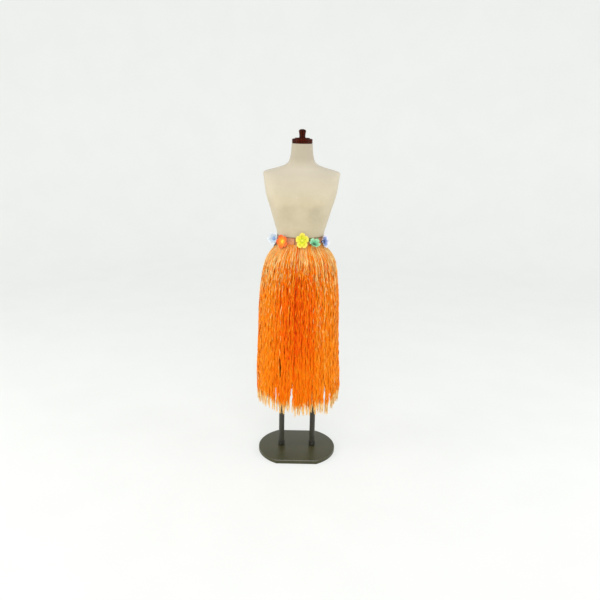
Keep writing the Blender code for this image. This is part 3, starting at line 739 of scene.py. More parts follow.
def build_torso():
    cloth = form_cloth()
    turns = full_turn(TORSO_SIDES)
    heights = np.linspace(TORSO[0].z, TORSO[-1].z, TORSO_ROWS)
    points = torso_points(heights[:, None], turns[None, :])
    rim = torso_points(TORSO[0].z, turns, -TORSO_RIM_INSET)
    points = np.concatenate([rim[None], points])
    mesh = mesh_of("form_torso_covered", points, capped_faces(len(points), TORSO_SIDES))
    piece(mesh, cloth, ["form_torso"], 50.0)
    aside = np.linspace(-1.0, 1.0, SEAM_COLUMNS) * 0.5 * SEAM_WIDTH
    for seam in SEAMS:
        z = np.linspace(seam.low + 0.002, seam.high - 0.001, SEAM_STEPS)[:, None]
        middle = np.radians(np.interp(z, SEAM_HEIGHTS, seam.path))
        turn = middle + aside / torso_outline.at(z)[..., 0]
        piece(ridge_mesh(f"form_seam_{seam.name}", z, turn), cloth)
    ring = np.linspace(0.0, math.tau, NECK_SEAM_STEPS)[:, None]
    piece(ridge_mesh("form_seam_neck", NECK_SEAM_HEIGHT + aside, ring), cloth)


# The grass

Layer = namedtuple("Layer", "name nodes count rows folded locks width depth tone shade rise seed")
# Tone and shade per layer: the outer layer paler, the deeper ones darker, as painted light and shade.
LAYERS = [
    Layer("outer", "grass_outer", 1020, 92, True, 150, 0.0046, -0.0010, 0.08, 0.0, 0.0055, 11),
    Layer("middle", None, 980, 64, False, 130, 0.0050, -0.0042, 0.00, 0.35, 0.0, 12),
    Layer("inner", "grass_inner", 980, 46, False, 110, 0.0056, -0.0084, -0.06, 0.50, 0.0, 13),
]

# Where the grass parts near the hem: from what height, where it is widest, how wide, and how far round
Parting = namedtuple("Parting", "angle top widest closed width spread")
PARTINGS = [
    Parting(-24.6, 0.570, 0.490, 0.420, 0.0070, 0.022),
    Parting(-29.8, 0.420, 0.330, 0.000, 0.0060, 0.020),
    Parting(-8.3, 0.430, 0.350, 0.000, 0.0078, 0.022),
    Parting(38.5, 0.440, 0.340, 0.000, 0.0085, 0.024),
    Parting(49.5, 0.400, 0.320, 0.000, 0.0082, 0.022),
    Parting(128.0, 0.560, 0.300, 0.000, 0.0090, 0.035),
    Parting(-112.0, 0.540, 0.300, 0.000, 0.0090, 0.035),
    Parting(176.0, 0.520, 0.300, 0.000, 0.0085, 0.035),
]
LEFT_OPEN = 0.22
SWEPT_SHARE = 0.14
SWEPT_BY = 0.45

# Where the grass hangs closer in than the skirt's outline: where, how far that reaches, how much
Tuck = namedtuple("Tuck", "angle sweep z height amount")
TUCKS = [
    Tuck(-85.0, 38.0, 0.975, 0.055, 0.0055),
    Tuck(-85.0, 34.0, 0.290, 0.110, 0.0120),
    Tuck(85.0, 40.0, 0.640, 0.300, 0.0034),
    Tuck(85.0, 32.0, 0.240, 0.085, 0.0090),
]

# Painted shade and light on the grass: a redder patch at the front and paler ones at the sides.
# Each patch: where, how far round, from and up to what heights, and how much paler
Patch = namedtuple("Patch", "angle sweep low full fades gone amount")
OVER_THE_TOP = (2.0, 3.0)
LIGHT_AND_SHADE_PATCHES = [
    Patch(1.0, 20.0, 0.45, 0.60, 0.88, 1.00, -0.20),
    Patch(-62.0, 26.0, 0.00, 0.01, *OVER_THE_TOP, 0.08),
    Patch(-90.0, 15.0, 0.60, 0.90, *OVER_THE_TOP, 0.18),
    Patch(82.0, 16.0, 0.84, 0.96, *OVER_THE_TOP, 0.18),
]

# Sums of sines along the strands: shortest and longest wave, how many are added, and their size
Wave = namedtuple("Wave", "shortest longest terms size")
LOCK_CRINKLE = Wave(0.040, 0.095, 3, 1.0)
LOCK_SWAY = Wave(0.16, 0.42, 2, 0.0034)
OWN_CRINKLE = Wave(0.026, 0.070, 2, 0.0013)
LOCK_GATHER = Wave(0.12, 0.30, 1, 0.25)
LOCK_DEPTH = Wave(0.050, 0.140, 2, 0.0016)
OWN_DEPTH = Wave(0.028, 0.070, 2, 0.0010)
OWN_TWIST = Wave(0.050, 0.170, 2, 0.85)
OWN_WIDTH = Wave(0.030, 0.090, 2, 0.22)
OWN_TONE = Wave(0.018, 0.070, 3, 0.16)
LOCK_TONE = Wave(0.06, 0.22, 2, 0.05)

# How high the hem's lowest strands end, round the skirt
HEM = (
    (-180.0, 0.250), (-120.0, 0.250), (-95.0, 0.256), (-75.0, 0.259), (-55.0, 0.254),
    (-38.0, 0.254), (-22.0, 0.247), (-9.0, 0.240), (4.0, 0.231), (20.0, 0.236),
    (32.0, 0.238), (42.0, 0.229), (53.0, 0.244), (68.0, 0.264), (90.0, 0.264),
    (120.0, 0.252), (180.0, 0.250),
)
HEM_ANGLES, HEM_HEIGHTS = zip(*HEM)
HEM_RAGGEDNESS = 0.030
STRAY_SHARE = 0.06
STRAY_SHORTNESS = (0.02, 0.12)
TAPER = (0.03, 0.11)
ROOT_FALL = 0.14
ROOTS_SPREAD_BY = 0.985
DEPTH_JITTER = 0.0012
FOLD_SHARE = 0.55

# Clumps of strands that draw together near the hem
CLUMPS = 66
CLUMP_LEAN = 0.004
CLUMP_SHORTNESS = 0.022
CLUMP_LIFT = (-0.001, 0.0025)


class Clumps:
    """What the strands of every layer share: clumps and partings near the hem."""

    def __init__(self):
        draw = np.random.default_rng(7)
        self.ends = skirt_round.shared_out(draw.uniform(0.6, 1.4, CLUMPS))
        lean = draw.uniform(-CLUMP_LEAN, CLUMP_LEAN, CLUMPS)
        self.meet = 0.5 * (self.ends[:-1] + self.ends[1:]) + lean
        self.short = draw.uniform(0.0, CLUMP_SHORTNESS, CLUMPS)
        self.lift = draw.uniform(*CLUMP_LIFT, CLUMPS)
        self.partings = [(parting, skirt_round.distance_of(parting.angle)) for parting in PARTINGS]

    def parted(self, distance, z):
        """How far the partings push strands aside."""
        shift = np.zeros(np.broadcast_shapes(distance.shape, z.shape))
        for parting, place in self.partings:
            away = distance - place
            away -= skirt_round.length * np.round(away / skirt_round.length)
            opening = falling(z, parting.top, parting.widest)
            closing = smoothstep(z, parting.closed, 0.5 * (parting.closed + parting.widest))
            opening = opening * (LEFT_OPEN + (1.0 - LEFT_OPEN) * closing)
            side = np.where(away >= 0.0, 1.0, -1.0)
            shift += side * parting.width * opening * np.exp(-np.abs(away) / parting.spread)
        return shift


class Strands:
    """The strands of one layer. A row is a strand, and its columns run down it.

    The steps share one stream of random draws, so the order of their calls shapes the grass.
    """

    def __init__(self, layer, clumps):
        self.layer = layer
        self.clumps = clumps
        self.draw = np.random.default_rng(layer.seed)
        self.own = np.arange(layer.count)
        self.root()
        self.cut()
        self.hang()
        self.sink()
        self.darken()
        self.lay()
        self.widen()
        self.dye()

    def each(self, low, high):
        """An even draw for each strand."""
        return self.draw.uniform(low, high, (self.layer.count, 1))

    def waves(self, wave, owner):
        """Sums of sines along the strands. Strands with the same owner share them."""
        total = np.zeros(self.z.shape)
        owners = owner.max() + 1
        for _ in range(wave.terms):
            length = self.draw.uniform(wave.shortest, wave.longest, owners)[owner, None]
            phase = self.draw.uniform(0.0, math.tau, owners)[owner, None]
            weight = self.draw.uniform(0.3, 1.0, owners)[owner, None]
            total += weight * np.sin(math.tau * self.z / length + phase)
        return total / wave.terms**0.5 * wave.size

    def root(self):
        """Spaces the strands round the waist and shares them out to locks and clumps."""
        count = self.layer.count
        start = (self.own + self.draw.uniform(-0.5, 0.5, count)) / count * skirt_round.length
        start = np.mod(start, skirt_round.length)
        ends = skirt_round.shared_out(self.draw.uniform(0.5, 1.5, self.layer.locks))
        self.lock = stretch_of(ends, start)
        middle = 0.5 * (ends[self.lock] + ends[self.lock + 1])
        self.clump = stretch_of(self.clumps.ends, middle)
        self.start = start[:, None]
        self.lock_middle = middle[:, None]
        self.degrees = np.degrees(skirt_round.turn_at(self.start))

    def cut(self):
        """Sets where the strands end, and the heights along them."""
        count = self.layer.count
        self.hem = np.interp(self.degrees, HEM_ANGLES, HEM_HEIGHTS)
        shortness = HEM_RAGGEDNESS * self.draw.random(count) ** 2.0 + self.clumps.short[self.clump]
        tip = self.hem[:, 0] + shortness
        stray = self.draw.random(count) < STRAY_SHARE
        self.tip = np.where(stray, tip + self.draw.uniform(*STRAY_SHORTNESS, count), tip)[:, None]
        along = np.linspace(0.0, 1.0, self.layer.rows)
        top = STRIP_TOP + self.layer.rise * self.draw.random((count, 1))
        self.z = top - along * (top - self.tip)
        self.fall = smoothstep(STRIP_TOP - self.z, 0.0, ROOT_FALL)

    def hang(self):
        """Sets how far round the skirt the strands hang."""
        z, start, fall = self.z, self.start, self.fall
        crinkle = 0.0017 + 0.0009 * smoothstep(z, 0.60, 0.85)
        side = self.waves(LOCK_CRINKLE, self.lock) * crinkle * fall
        side += self.waves(LOCK_SWAY, self.lock) * fall
        side += self.waves(OWN_CRINKLE, self.own) * fall
        gather = 0.42 * fall * (0.75 + self.waves(LOCK_GATHER, self.lock))
        pull = 0.62 * falling(z, 0.375, self.hem) ** 1.4
        to_lock = (self.lock_middle - start) * gather * (1.0 - pull)
        to_clump = self.clumps.meet[self.clump][:, None] - start
        swept = np.where(self.draw.random(start.shape) < SWEPT_SHARE, SWEPT_BY, 1.0)
        self.distance = start + side + self.clumps.parted(start, z) * swept + to_lock + pull * to_clump

    def sink(self):
        """Sets how far in from the skirt's outline the strands lie."""
        z, fall = self.z, self.fall
        self.spread = falling(z, STRIP_TOP, ROOTS_SPREAD_BY)
        depth = self.layer.depth * (0.30 + 0.70 * self.spread)
        depth = depth + DEPTH_JITTER * self.each(-1.0, 1.0) * (0.25 + 0.75 * self.spread)
        depth = depth + self.waves(LOCK_DEPTH, self.lock) * fall
        depth = depth + self.waves(OWN_DEPTH, self.own) * fall
        self.depth = depth + self.clumps.lift[self.clump][:, None] * falling(z, 0.50, 0.30)

    def darken(self):
        """Shades strands that lie behind others, mostly in the crowded upper part."""
        z = self.z
        behind = (self.layer.depth - self.depth) / 0.0042
        shade = np.clip(0.45 + self.layer.shade + behind, 0.0, 1.0)
        uneven = 0.55 * smoothstep(z, 0.88, 1.02) * self.each(-1.0, 1.0)
        crowded = 0.10 + 0.20 * smoothstep(z, 0.40, 0.62) + 0.70 * smoothstep(z, 0.78, 0.98)
        self.shade = np.clip(shade + uneven, 0.0, 1.1) * crowded

    def lay(self):
        """Lays the strands round the skirt and twists them."""
        depth = self.depth
        for tuck in TUCKS:
            around = (self.degrees - tuck.angle) / tuck.sweep
            up = (self.z - tuck.z) / tuck.height
            depth = depth - tuck.amount * np.exp(-(around**2) - up**2)
        turn = skirt_round.turn_at(self.distance)
        self.centre, outward = skirt_outline.surface(self.z, turn, depth)
        sideways = np.stack([-outward[..., 1], outward[..., 0], np.zeros_like(self.z)], -1)
        twist = self.waves(OWN_TWIST, self.own) * (0.35 + 0.65 * self.fall)
        twist = (twist + self.each(-0.6, 0.6))[..., None]
        self.across = sideways * np.cos(twist) + outward * np.sin(twist)
        self.facing = outward * np.cos(twist) - sideways * np.sin(twist)

    def widen(self):
        """Sets the strands' widths, narrow at the roots and pointed at the tips."""
        z = self.z
        crumpled = 0.78 + self.waves(OWN_WIDTH, self.own)
        width = self.layer.width * self.each(0.6, 1.15) * np.clip(crumpled, 0.4, 1.2)
        width = width * (0.14 + 0.86 * smoothstep(z, self.tip, self.tip + self.each(*TAPER)))
        self.width = width * (0.48 + 0.52 * self.spread) * (1.16 - 0.26 * smoothstep(z, 0.45, 0.80))

    def dye(self):
        """Sets the tone: 0 is deep red-orange and 1 is pale peach. Parts of it are painted light, shade and
        highlights.
        """
        z, layer = self.z, self.layer
        streaks_and_highlights = self.draw.normal(0.0, 0.13, self.start.shape) + self.waves(OWN_TONE, self.own)
        locks = self.draw.normal(0.0, 0.05, layer.locks)[self.lock, None]
        streaks_and_highlights = streaks_and_highlights + (locks + self.waves(LOCK_TONE, self.lock))
        at_sides = smoothstep(np.abs(self.degrees), 20.0, 55.0)
        lively = 0.55 + 0.75 * smoothstep(z, 0.40, 0.80) + 0.60 * smoothstep(z, 0.80, 1.00)
        lively = lively * (1.0 - 0.40 * at_sides * falling(z, 0.95, 0.80))
        tone = 0.47 + layer.tone + streaks_and_highlights * lively
        # The patches paint shade at the front and light at the sides.
        for patch in LIGHT_AND_SHADE_PATCHES:
            upward = smoothstep(z, patch.low, patch.full) * falling(z, patch.gone, patch.fades)
            tone = tone + patch.amount * bell(self.degrees, patch.angle, patch.sweep) * upward
        # Painted light: paler towards the top, at the sides and on the right; deeper layers get less at the
        # top.
        tone = tone + (0.12 + 1.5 * layer.tone) * smoothstep(z, 0.80, 1.02)
        tone = tone + 0.09 * at_sides + 0.09 * smoothstep(self.degrees, 10.0, 40.0)
        self.tone = tone + 0.95 * (1.0 - smoothstep(z, self.tip, self.tip + 0.070))

    def mesh(self, name, chosen):
        """One mesh of the chosen strands, flat or folded along their middles."""
        centre = self.centre[chosen]
        half = 0.5 * self.width[chosen][..., None]
        aside = self.across[chosen] * half
        lines = [centre - aside, centre + aside]
        if self.layer.folded:
            lines.insert(1, centre + self.facing[chosen] * half * FOLD_SHARE)
        points = np.stack(lines, 2)
        count, rows, columns = points.shape[:3]
        firsts = np.arange(count)[:, None, None] * rows * columns
        faces = (grid_faces(rows, columns) + firsts).reshape(-1, 4)
        values = {"tone": self.tone, "shade": self.shade}
        for key, value in values.items():
            values[key] = np.repeat(value[chosen][..., None], columns, axis=2)
        return mesh_of(name, points, [faces], values)


def build_grass():
    film = grass_film()
    clumps = Clumps()
    per_quarter = SECTORS // QUARTERS
    pieces = []
    for layer in LAYERS:
        strands = Strands(layer, clumps)
        quarter_of = ((strands.degrees[:, 0] + 180.0) / 360.0 * QUARTERS).astype(int)
        quarter_of = np.clip(quarter_of, 0, QUARTERS - 1)
        for quarter in range(QUARTERS):
            mesh = strands.mesh(f"grass_{layer.name}_quarter_{quarter + 1}", quarter_of == quarter)
            nodes = []
            if layer.nodes:
                first = quarter * per_quarter + 1
                nodes = [f"{layer.nodes}_{sector:02d}" for sector in range(first, first + per_quarter)]
            pieces.append(piece(mesh, film, nodes))
    return pieces


# The waistband

BAND_GATHERS = 118
BAND_GATHER_DEPTH = 0.00055
BAND_STITCH_ROWS = 3.0
BAND_SIDES = 944
BAND_ROWS = 26
TAPE_SIDES = 240
TAPE_OUTER = -0.0012
TAPE_INNER = -0.0030
JOIN_ANGLE = -12.6
JOIN_WIDTH = 0.0050
JOIN_RISE = 0.0012
JOIN_ROWS = 24
JOIN_COLUMNS = 7
BAND_OUTER = BODY_CLEARANCE + BAND_WALL
# The band's upper edge, rolled over: distance below its top, distance off the form, share of gathers
EDGE_ROLL = [
    (0.0041, BODY_CLEARANCE + 0.0002, 0.0),
    (0.0041, BAND_OUTER + 0.0002, 0.3),
    (0.0030, BAND_OUTER + 0.0006, 0.3),
    (0.0012, BAND_OUTER + 0.0006, 0.3),
    (0.0002, BAND_OUTER + 0.0001, 0.3),
    (0.0000, BAND_OUTER - 0.0008, 0.0),
    (0.0006, BODY_CLEARANCE + 0.0002, 0.0),
]


def wall_mesh(name, loops):
    """A closed wall round the waist, from the loops of points round its section."""
    return mesh_of(name, loops, [grid_faces(len(loops), len(loops[0]), closed=True, looped=True)])


def gathers(turns, z):
    """Fine uneven gathers, held flat where rows of elastic cross them."""
    uneven = turns + 0.02 * np.sin(7.0 * turns) + 0.012 * np.sin(17.0 * turns + 1.0)
    ripple = np.sin(BAND_GATHERS * uneven) * (0.75 + 0.25 * np.sin(23.0 * turns))
    share = (z - BAND_BOTTOM) / (BAND_TOP - BAND_BOTTOM)
    held = 0.55 + 0.45 * math.cos(math.tau * share * BAND_STITCH_ROWS)
    return BAND_GATHER_DEPTH * ripple * held


def gathered_mesh(name, rows):
    """A wall from rows of height, distance off the form and share of the gathers."""
    turns = full_turn(BAND_SIDES)
    loops = []
    for z, outward, gathered in rows:
        loops.append(torso_outline.surface(z, turns, outward + gathered * gathers(turns, z))[0])
    return wall_mesh(name, loops)


def tape_mesh():
    """The tape that the grass hangs from."""
    turns = full_turn(TAPE_SIDES)
    outer = [skirt_outline.surface(z, turns, TAPE_OUTER)[0] for z in (STRIP_BOTTOM, STRIP_TOP)]
    inner = [skirt_outline.surface(z, turns, TAPE_INNER)[0] for z in (STRIP_TOP, STRIP_BOTTOM)]
    return wall_mesh("fringe_tape", outer + inner)


def join_mesh():
    """The narrow fold where the band's two ends are sewn together, beside the yellow flower. Its dark cloth
    is painted shade.
    """
    heights = np.linspace(BAND_BOTTOM + 0.0002, BAND_TOP - 0.0044, JOIN_ROWS)
    across = np.linspace(-1.0, 1.0, JOIN_COLUMNS)
    half_width = torso_outline.at(heights)[:, :1]
    turn = math.radians(JOIN_ANGLE) + across * 0.5 * JOIN_WIDTH / half_width
    rise = BAND_OUTER + JOIN_RISE * (1.0 - across**4)
    top, _ = torso_outline.surface(heights[:, None], turn, rise)
    under, _ = torso_outline.surface(heights[:, None], turn, BODY_CLEARANCE + 0.5 * BAND_WALL)
    return mesh_of("waistband_join_shaded", [top, under], sheet_faces(JOIN_ROWS, JOIN_COLUMNS))


def build_band():
    cloth = band_cloth("band_cloth", (0.44, 0.165, 0.075), (0.66, 0.310, 0.165), 0.75)
    edge = band_cloth("band_edge_cloth", (0.150, 0.060, 0.018), (0.330, 0.150, 0.045), 0.0)
    heights = np.linspace(BAND_BOTTOM, BAND_TOP - 0.0040, BAND_ROWS)
    rows = [(z, BAND_OUTER - 0.0002, 1.0) for z in heights]
    rows += [(z, BODY_CLEARANCE, 0.0) for z in heights[::-6]]
    band = piece(gathered_mesh("waistband_gathered", rows), cloth, ["waistband"])
    roll = [(BAND_TOP - below, outward, gathered) for below, outward, gathered in EDGE_ROLL]
    rib = piece(gathered_mesh("waistband_edge", roll), edge)
    # The join takes the dark edge cloth: painted shade beside the yellow flower.
    shaded_join = piece(join_mesh(), edge)
    tape = piece(tape_mesh(), cloth)


# The flowers and leaves

Flower = namedtuple("Flower", "name angle height radius tall cup tilt yaw turn stem")
FLOWERS = [
    Flower("blue_left", -84.0, 1.067, 0.0290, 1.00, 0.020, 10.0, 48.0, 20.0, 0.0110),
    Flower("orange", -42.0, 1.065, 0.0310, 1.05, 0.012, 6.0, 0.0, 8.0, 0.0080),
    Flower("yellow", 3.5, 1.0755, 0.0305, 1.20, 0.013, 6.0, 0.0, -18.0, 0.0060),
    Flower("green", 31.0, 1.055, 0.0265, 1.00, 0.018, 46.0, 0.0, 0.0, 0.0110),
    Flower("blue_right", 64.0, 1.063, 0.0305, 1.00, 0.016, 8.0, 0.0, 12.0, 0.0080),
]
# Dyes from the heart of a flower to its petals' edges, then the dark and light of its middle
Dye = namedtuple("Dye", "heart body edge middle_dark middle_light")
DYES = [
    Dye((0.20, 0.34, 0.56), (0.58, 0.67, 0.76), (0.78, 0.82, 0.85), (0.10, 0.18, 0.40), (0.30, 0.42, 0.64)),
    Dye((0.98, 0.54, 0.01), (0.93, 0.28, 0.01), (0.84, 0.12, 0.02), (0.90, 0.48, 0.00), (1.00, 0.66, 0.01)),
    Dye((0.68, 0.72, 0.015), (0.78, 0.76, 0.03), (0.90, 0.77, 0.12), (0.62, 0.64, 0.02), (0.84, 0.84, 0.06)),
    Dye((0.01, 0.13, 0.04), (0.22, 0.66, 0.36), (0.46, 0.80, 0.52), (0.01, 0.09, 0.03), (0.03, 0.17, 0.06)),
    Dye((0.003, 0.03, 0.18), (0.22, 0.31, 0.60), (0.84, 0.84, 0.90), (0.003, 0.02, 0.1), (0.01, 0.05, 0.22)),
]
PETALS = 5
PETAL_ROWS = 15
PETAL_COLUMNS = 15
PETAL_WALL = 0.0005
PETAL_LIFT = 0.0010
INNER_LIFT = 0.0034
INNER_SHARE = 0.70
PETAL_HALF_ANGLE = math.pi / PETALS * 1.10
CUP_POWER = 1.6
CENTRE_RADIUS = 0.0062
CENTRE_HEIGHT = 0.0050
CENTRE_LIFT = 0.0040
CENTRE_SIDES = 48
CENTRE_ROWS = 18
STEM_SIDES = 40
STEM_PLEATS = 10.0
# How far along the stem, and its radius there
STEM = ((0.0, 0.0042), (0.25, 0.0036), (0.6, 0.0038), (0.85, 0.0058), (1.0, 0.0082))

Leaf = namedtuple("Leaf", "name angle height length width roll lift dark light")
LEAVES = [
    Leaf("left", -68.0, 1.061, 0.029, 0.0125, -6.0, 36.0, (0.035, 0.028, 0.020), (0.11, 0.09, 0.055)),
    Leaf("middle", 16.0, 1.069, 0.025, 0.0120, 140.0, 16.0, (0.060, 0.110, 0.020), (0.17, 0.26, 0.06)),
    Leaf("right", 42.0, 1.069, 0.022, 0.0115, 180.0, 20.0, (0.100, 0.180, 0.075), (0.26, 0.38, 0.19)),
]
LEAF_ROWS = 25
LEAF_COLUMNS = 13
LEAF_WALL = 0.0005
# How far along a leaf, and its share of the full width there
LEAF_ALONG = (0.0, 0.12, 0.3, 0.5, 0.75, 0.92, 1.0)
LEAF_WIDTHS = (0.26, 0.55, 0.92, 1.0, 0.70, 0.28, 0.03)


def band_place(angle, height):
    """A frame just off the band's outer face: local +Y runs up it and +Z points away from it."""
    turn = math.radians(angle)
    heights = np.array([height - STEM_RADIUS, height, height + STEM_RADIUS])
    points, normals = torso_outline.surface(heights, turn, BAND_OUTER + SEAM_GAP)
    up = Vector(points[2] - points[0]).normalized()
    side = up.cross(Vector(normals[1])).normalized()
    return Matrix.Translation(points[1]) @ Matrix((side, up, side.cross(up))).transposed().to_4x4()


def flower_face(flower):
    """Where a flower's petals meet: the end of its stem, turned the way its face looks."""
    end = Matrix.Translation((0.0, 0.0, flower.stem))
    yaw = Matrix.Rotation(math.radians(flower.yaw), 4, "Y")
    tilt = Matrix.Rotation(math.radians(-flower.tilt), 4, "X")
    return band_place(flower.angle, flower.height) @ end @ yaw @ tilt


def petal_grid(flower, index, share, lift, draw):
    """One petal as a grid of points, from the flower's middle to its rounded, rippled tip."""
    out = np.linspace(0.0, 1.0, PETAL_ROWS)[:, None]
    across = np.linspace(-1.0, 1.0, PETAL_COLUMNS)[None, :]
    bulge = np.sin(math.pi * (0.5 + 0.5 * across * 0.98)) ** 0.40
    reach = share * out * (0.50 + 0.50 * bulge + 0.02 * np.cos(9.0 * across))
    reach = reach - 0.035 * bell(across, 0.0, 0.16) * out**4 * share
    narrow = 0.55 + 0.45 * np.sin(math.pi * out**1.15 * 0.62)
    turn = (index + 0.5) * math.tau / PETALS + math.radians(flower.turn)
    turn = turn + across * PETAL_HALF_ANGLE * narrow
    x = flower.radius * reach * np.cos(turn)
    y = flower.radius * flower.tall * reach * np.sin(turn)
    ripple = np.sin(across * 5.0 + draw.uniform(0.0, 6.0)) * 0.0016
    ripple = (ripple + np.sin(across * 11.0 + draw.uniform(0.0, 6.0)) * 0.0007) * out**2
    crease = -0.0014 * bell(across, 0.0, 0.22) * np.sin(math.pi * out)
    overlap = 0.0009 * across * np.sin(math.pi * out * 0.9)
    curl = -0.0022 * smoothstep(out, 0.75, 1.0) * (0.5 + 0.5 * draw.uniform(-1.0, 1.0))
    z = flower.cup * reach**CUP_POWER + ripple + crease + overlap + curl + lift
    return np.stack([x, y, z], -1), reach


def petals_mesh(name, flower, share, lift, seed, skew):
    """Five petals, each a thin closed sheet, in one mesh."""
    draw = np.random.default_rng(seed)
    points = []
    reaches = []
    faces = []
    for index in range(PETALS):
        top, reach = petal_grid(flower, index + skew, share, lift, draw)
        points += [top, top - np.array([0.0, 0.0, PETAL_WALL])]
        reaches += [reach, reach]
        faces += sheet_faces(PETAL_ROWS, PETAL_COLUMNS, first=2 * index * reach.size)
    return mesh_of(name, placed(np.array(points), flower_face(flower)), faces, {"reach": reaches})


def centre_mesh(name, flower):
    """A domed, tufted middle."""
    turns = full_turn(CENTRE_SIDES)[None, :]
    rise = np.linspace(0.0, 1.0, CENTRE_ROWS)[:, None]
    radius = CENTRE_RADIUS * np.cos(rise * math.pi / 2.0 * 0.97)
    tufts = 1.0 + 0.07 * np.sin(9.0 * turns + 6.0 * rise) * np.sin(math.pi * rise)
    x = radius * tufts * np.cos(turns)
    y = radius * tufts * np.sin(turns)
    z = CENTRE_LIFT + CENTRE_HEIGHT * np.sin(rise * math.pi / 2.0) + 0.0 * turns
    points = placed(np.stack([x, y, z], -1), flower_face(flower))
    return mesh_of(name, points, capped_faces(CENTRE_ROWS, CENTRE_SIDES))


def stem_mesh(name, flower):
    """The pleated cloth stem behind a flower, from the band to its petals."""
    turns = full_turn(STEM_SIDES)
    pleats = 1.0 + 0.05 * np.sin(STEM_PLEATS * turns)
    loops = []
    for share, radius in STEM:
        ring = [radius * pleats * np.cos(turns), radius * pleats * np.sin(turns), 0.0 * turns]
        ring = np.stack(ring, -1)
        low = placed(ring, band_place(flower.angle, flower.height))
        high = placed(ring + np.array([0.0, 0.0, 0.0006 * share]), flower_face(flower))
        loops.append(low * (1.0 - share) + high * share)
    return mesh_of(name, loops, capped_faces(len(loops), STEM_SIDES))


def build_flowers():
    for number, (flower, dye) in enumerate(zip(FLOWERS, DYES)):
        petals = f"petals_{flower.name}"
        centre = f"centre_{flower.name}"
        node = f"flower_{flower.name}"
        cloth = petal_cloth(petals, [(0.16, dye.heart), (0.46, dye.body), (0.95, dye.edge)])
        middle = centre_cloth(centre, dye.middle_dark, dye.middle_light)
        low = petals_mesh(f"{node}_petals", flower, 1.0, PETAL_LIFT, 40 + number, 0.0)
        outer = piece(low, cloth, [node])
        high = petals_mesh(f"{node}_inner_petals", flower, INNER_SHARE, INNER_LIFT, 60 + number, 0.5)
        inner = piece(high, cloth)
        dome = piece(centre_mesh(f"{node}_middle", flower), middle, [f"{node}_centre"])
        stem = piece(stem_mesh(f"{node}_stem", flower), cloth)


def leaf_mesh(leaf):
    """A pointed leaf with a folded middle vein and a rippled edge, thin and closed."""
    place = band_place(leaf.angle, leaf.height) @ Matrix.Rotation(math.radians(leaf.roll), 4, "Z")
    along = np.linspace(0.0, 1.0, LEAF_ROWS)[:, None]
    across = np.linspace(-1.0, 1.0, LEAF_COLUMNS)[None, :]
    half = 0.5 * leaf.width * np.interp(along, LEAF_ALONG, LEAF_WIDTHS)
    fold = 0.28 * half * np.abs(across)
    ribs = 0.00022 * np.cos(60.0 * (along - 0.35 * np.abs(across))) * np.abs(across)
    ripple = 0.0006 * np.sin(13.0 * along + across) * across**2
    x = half * across
    y = -leaf.length * along + 0.0 * across
    z = 0.0008 + leaf.length * along * math.tan(math.radians(leaf.lift)) + fold + ribs + ripple
    top = np.stack([x, y, z], -1)
    both = np.array([top, top - np.array([0.0, 0.0, LEAF_WALL])])
    return mesh_of(f"leaf_{leaf.name}_veined", placed(both, place), sheet_faces(LEAF_ROWS, LEAF_COLUMNS))


def build_leaves():
    for leaf in LEAVES:
        cloth = leaf_cloth(f"leaf_{leaf.name}", leaf.dark, leaf.light)
        blade = piece(leaf_mesh(leaf), cloth, [f"leaf_{leaf.name}"])


# The studio

CAMERA_DISTANCE = 3.1155
CAMERA_HEIGHT = 1.641
CAMERA_TILT = 0.2717
CAMERA_ROLL = 0.0189
FOCAL_PIXELS = 683.25
PICTURE_PIXELS = 600.0
CENTRE_SHIFT_PIXELS = -0.71
SENSOR_MM = 36.0

PAPER_SIDES = 96
PAPER_SINK = 0.0004
PAPER_RINGS = (0.02, 0.5, 1.0, 2.0, 3.0, 4.2)
PAPER_BEND = 1.3
PAPER_BEND_STEPS = 12
PAPER_TOP = 5.5
WORLD_COLOUR = (0.96, 0.98, 1.0, 1.0)
WORLD_STRENGTH = 0.50
Light = namedtuple("Light", "name place target size watts colour")
LIGHTS = [
    Light("key", (-3.6, -1.1, 1.75), (0.0, 0.0, 0.8), (2.4, 2.8), 88.0, (1.0, 0.985, 0.96)),
    Light("fill", (3.7, -1.0, 1.65), (0.0, 0.0, 0.8), (2.4, 2.8), 76.0, (0.99, 0.99, 1.0)),
    Light("front", (0.0, -3.0, 3.7), (0.0, 0.0, 0.7), (3.0, 2.0), 92.0, (1.0, 1.0, 1.0)),
]


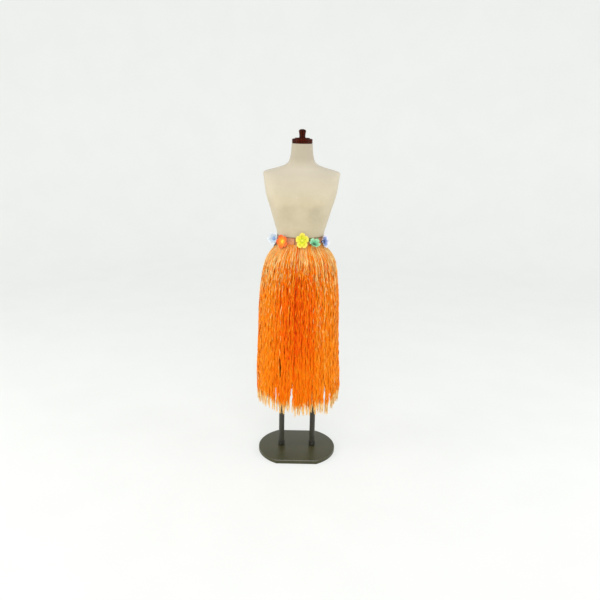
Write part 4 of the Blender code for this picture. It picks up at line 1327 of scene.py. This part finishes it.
def build_camera():
    data = bpy.data.cameras.new("camera")
    data.sensor_width = SENSOR_MM
    data.lens = FOCAL_PIXELS / PICTURE_PIXELS * SENSOR_MM
    data.shift_x = -CENTRE_SHIFT_PIXELS / PICTURE_PIXELS
    camera = show("camera", data)
    place = Matrix.Translation((0.0, -CAMERA_DISTANCE, CAMERA_HEIGHT))
    look = Matrix.Rotation(math.pi / 2.0 - CAMERA_TILT, 4, "X")
    roll = Matrix.Rotation(CAMERA_ROLL, 4, "Z")
    camera.matrix_world = place @ look @ roll
    bpy.context.scene.camera = camera


def build_paper():
    """A pale floor that bends up into a wall all round."""
    nodes = Nodes("studio_paper")
    mottle = nodes.noise(3.0, 2.0)
    nodes.set(Base_Color=nodes.ramp(mottle, [(0.3, (0.306, 0.304, 0.295)), (0.7, (0.318, 0.316, 0.307))]))
    nodes.set(Roughness=0.95, Emission_Color=(0.97, 1.0, 0.98), Emission_Strength=0.55)
    flat = PAPER_RINGS[-1]
    profile = [(radius, 0.0) for radius in PAPER_RINGS]
    for turn in np.linspace(0.0, math.pi / 2.0, PAPER_BEND_STEPS)[1:]:
        profile.append((flat + PAPER_BEND * math.sin(turn), PAPER_BEND * (1.0 - math.cos(turn))))
    profile.append((flat + PAPER_BEND, PAPER_TOP))
    rows = np.array(profile)
    turns = full_turn(PAPER_SIDES)
    z = rows[:, 1:] + 0.0 * turns - PAPER_SINK
    points = np.stack([rows[:, :1] * np.cos(turns), rows[:, :1] * np.sin(turns), z], -1)
    faces = [grid_faces(len(rows), PAPER_SIDES, closed=True)[:, ::-1], np.arange(PAPER_SIDES)[None, :]]
    mesh = mesh_of("studio_floor", points, faces)
    mesh.materials.append(nodes.material)
    show("studio_floor", mesh)


def build_lights():
    world = bpy.data.worlds.new("world")
    world.use_nodes = True
    background = world.node_tree.nodes["Background"]
    background.inputs["Color"].default_value = WORLD_COLOUR
    background.inputs["Strength"].default_value = WORLD_STRENGTH
    bpy.context.scene.world = world
    for row in LIGHTS:
        data = bpy.data.lights.new(row.name, "AREA")
        data.shape = "RECTANGLE"
        data.size, data.size_y = row.size
        data.energy = row.watts
        data.color = row.colour
        light = show(row.name, data)
        light.location = row.place
        aim = Vector(row.target) - Vector(row.place)
        light.rotation_euler = aim.to_track_quat("-Z", "Y").to_euler()
    bpy.context.scene.view_settings.view_transform = "Standard"


build_camera()
build_paper()
build_lights()
build_stand()
build_neck()
build_torso()
grass_pieces = build_grass()
build_band()
build_flowers()
build_leaves()
